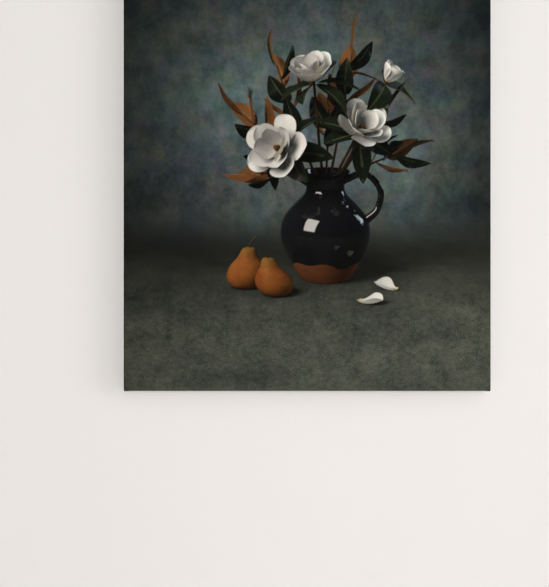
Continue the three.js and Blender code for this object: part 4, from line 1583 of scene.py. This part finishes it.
def standing(name, piece, nodes, material, seed):
    # The piece at the middle of each node, turned at random about its own line
    chance = random.Random(seed)
    places = [((low.x + high.x) / 2, 0, (low.z + high.z) / 2) for low, high in map(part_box, nodes)]
    turns = [(0, chance.uniform(0, 2 * math.pi), 0) for _ in nodes]
    made = runTree(name, placesTree(), pointMesh(name, places, [], "turn", turns), {"Piece": piece}, material)
    bpy.data.objects.remove(piece)
    return made


keyNodes, screwNodes, bumperNodes = nodesNamed("key_"), nodesNamed("hanger_screw_"), nodesNamed("bumper_")
keys = edgesBroken("keys", keyNodes, edgeWidths["keys"], sawnBeech())
hanger = edgesBroken("toothed_hanger", ["hanger"], edgeWidths["hanger"], zinc)
screws = standing("hanger_screws", crossCut(turnedPiece("screw", screw, screwNodes[0]), *screw["recess"]),
                  screwNodes, zinc, screw["seed"])
bumpers = standing("bumpers", turnedPiece("bumper", bumper, bumperNodes[0]), bumperNodes, mouldedRubber(),
                   bumper["seed"])
for piece, slot, nodes in (
    (canvas, "print", ["canvas"]),
    (threads, "print", []),
    (staples, "zinc", nodesNamed("staple_")),
    (keys, "beech", keyNodes),
    (hanger, "zinc", ["hanger"]),
    (screws, "zinc", screwNodes),
    (bumpers, "rubber", bumperNodes),
):
    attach(piece, "root")
    if nodes:
        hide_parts(*nodes)
print("back dressed")

# The room: a painted wall behind the picture, a pale floor, and soft lights. None of it is the picture's.
room = {
    "wallGap": 0.5 * mm,
    "floorAt": -1.75,
    "halfWidth": 6,
    "wallTop": 3,
    "floorEnds": (-8, 8),  # towards the camera and behind the wall
    "wall": ("#ece9e7", "#e7e4e2"),
    "floor": ("#e4dfd8", "#dad5cd"),
    "sky": "#f4f1ee",
    "world": (0.14, 0.32),  # strength to the sides and ahead
}
lights = {
    # place, aim, width, height, power in watts, spread in degrees; the first is held in, to spare the floor
    "front": ((-0.10, -6.0, -0.40), (-0.1, 0, -0.45), 1.0, 1.0, 55.5, 100),
    "right": ((3.2, -2.1, -0.50), (0, 0, -0.50), 2.0, 1.0, 31.5, 180),
    "rightHigh": ((1.60, -2.3, 0.65), (0.4, 0, 0), 2.6, 1.6, 10.0, 180),
    "back": ((0.9, 2.6, 0.9), (0, 0, -0.36), 1.6, 1.6, 36.0, 180),
}


def paintedPlaster():
    # Plaster under emulsion paint, rolled on: pale and dull, with a fine stipple. Seen from behind the wall
    # isn't there, so that the back of the picture shows.
    material, tree, shader = newMaterial("paintedPlaster", {"Roughness": 0.85, "Specular IOR Level": 0.2})
    cloud, stipple = (addGrain(tree, (size,) * 3, roughness=0.55) for size in (454.5, 3.03))
    light, dark = room["wall"]
    tone = addNode(tree, "ShaderNodeMix", {"Factor": cloud, 6: light, 7: dark}, data_type="RGBA")
    bump = addNode(tree, "ShaderNodeBump", {"Strength": 0.25, "Distance": 0.15 * mm, "Height": stipple})
    setInputs(tree, shader, {"Base Color": tone.outputs[2], "Normal": bump})
    behind = addNode(tree, "ShaderNodeNewGeometry").outputs["Backfacing"]
    clear = addNode(tree, "ShaderNodeBsdfTransparent")
    oneSided = addNode(tree, "ShaderNodeMixShader", {0: behind, 1: shader, 2: clear})
    setInputs(tree, tree.nodes["Material Output"], {"Surface": oneSided})
    return material


def sealedScreed():
    # A pale screed, trowelled and sealed: nearly even in tone, with a soft dull shine
    material, tree, shader = newMaterial("sealedScreed", {"Roughness": 0.7, "Specular IOR Level": 0.3})
    light, dark = room["floor"]
    cloud = addGrain(tree, (111.1,) * 3, roughness=0.55)
    tone = addNode(tree, "ShaderNodeMix", {"Factor": cloud, 6: light, 7: dark}, data_type="RGBA")
    setInputs(tree, shader, {"Base Color": tone.outputs[2]})
    return material


def addStage():
    side, bottom, top = room["halfWidth"], room["floorAt"], room["wallTop"]
    y, (near, far) = room["wallGap"], room["floorEnds"]
    corners = {
        "wall": [(-side, y, bottom), (side, y, bottom), (side, y, top), (-side, y, top)],
        "floor": [(-side, near, bottom), (side, near, bottom), (side, far, bottom), (-side, far, bottom)],
    }
    for (name, points), material in zip(corners.items(), (paintedPlaster(), sealedScreed())):
        plane = addObject(name, newMesh(name, points, [(0, 1, 2, 3)], smooth=False), material)
        plane.visible_shadow = name != "wall"


def addLights():
    for name, (place, aim, wide, high, power, spread) in lights.items():
        data = bpy.data.lights.new(name, "AREA")
        data.shape, data.size, data.size_y = "RECTANGLE", wide, high
        data.energy, data.spread = power, math.radians(spread)
        lamp = bpy.data.objects.new(name, data)
        lamp.location = place
        lamp.rotation_euler = (Vector(aim) - Vector(place)).to_track_quat("-Z", "Y").to_euler()
        lamp.visible_camera = False
        bpy.context.scene.collection.objects.link(lamp)


def addWorld():
    # A pale room: brighter straight ahead and straight behind than to the sides
    world = bpy.data.worlds.new("studio")
    world.use_nodes = True
    tree = world.node_tree
    direction = addNode(tree, "ShaderNodeTexCoord").outputs["Generated"]
    parts = addNode(tree, "ShaderNodeSeparateXYZ", {0: direction})
    ahead = addNode(tree, "ShaderNodeMath", {0: parts.outputs["Y"]}, operation="ABSOLUTE")
    least, most = room["world"]
    strength = weightedSum(tree, "ShaderNodeMath", least, (ahead, most - least))
    setInputs(tree, tree.nodes["Background"], {"Color": room["sky"], "Strength": strength})
    bpy.context.scene.world = world
    bpy.context.scene.view_settings.view_transform = "Standard"


addStage()
addLights()
addWorld()
print("room ready")
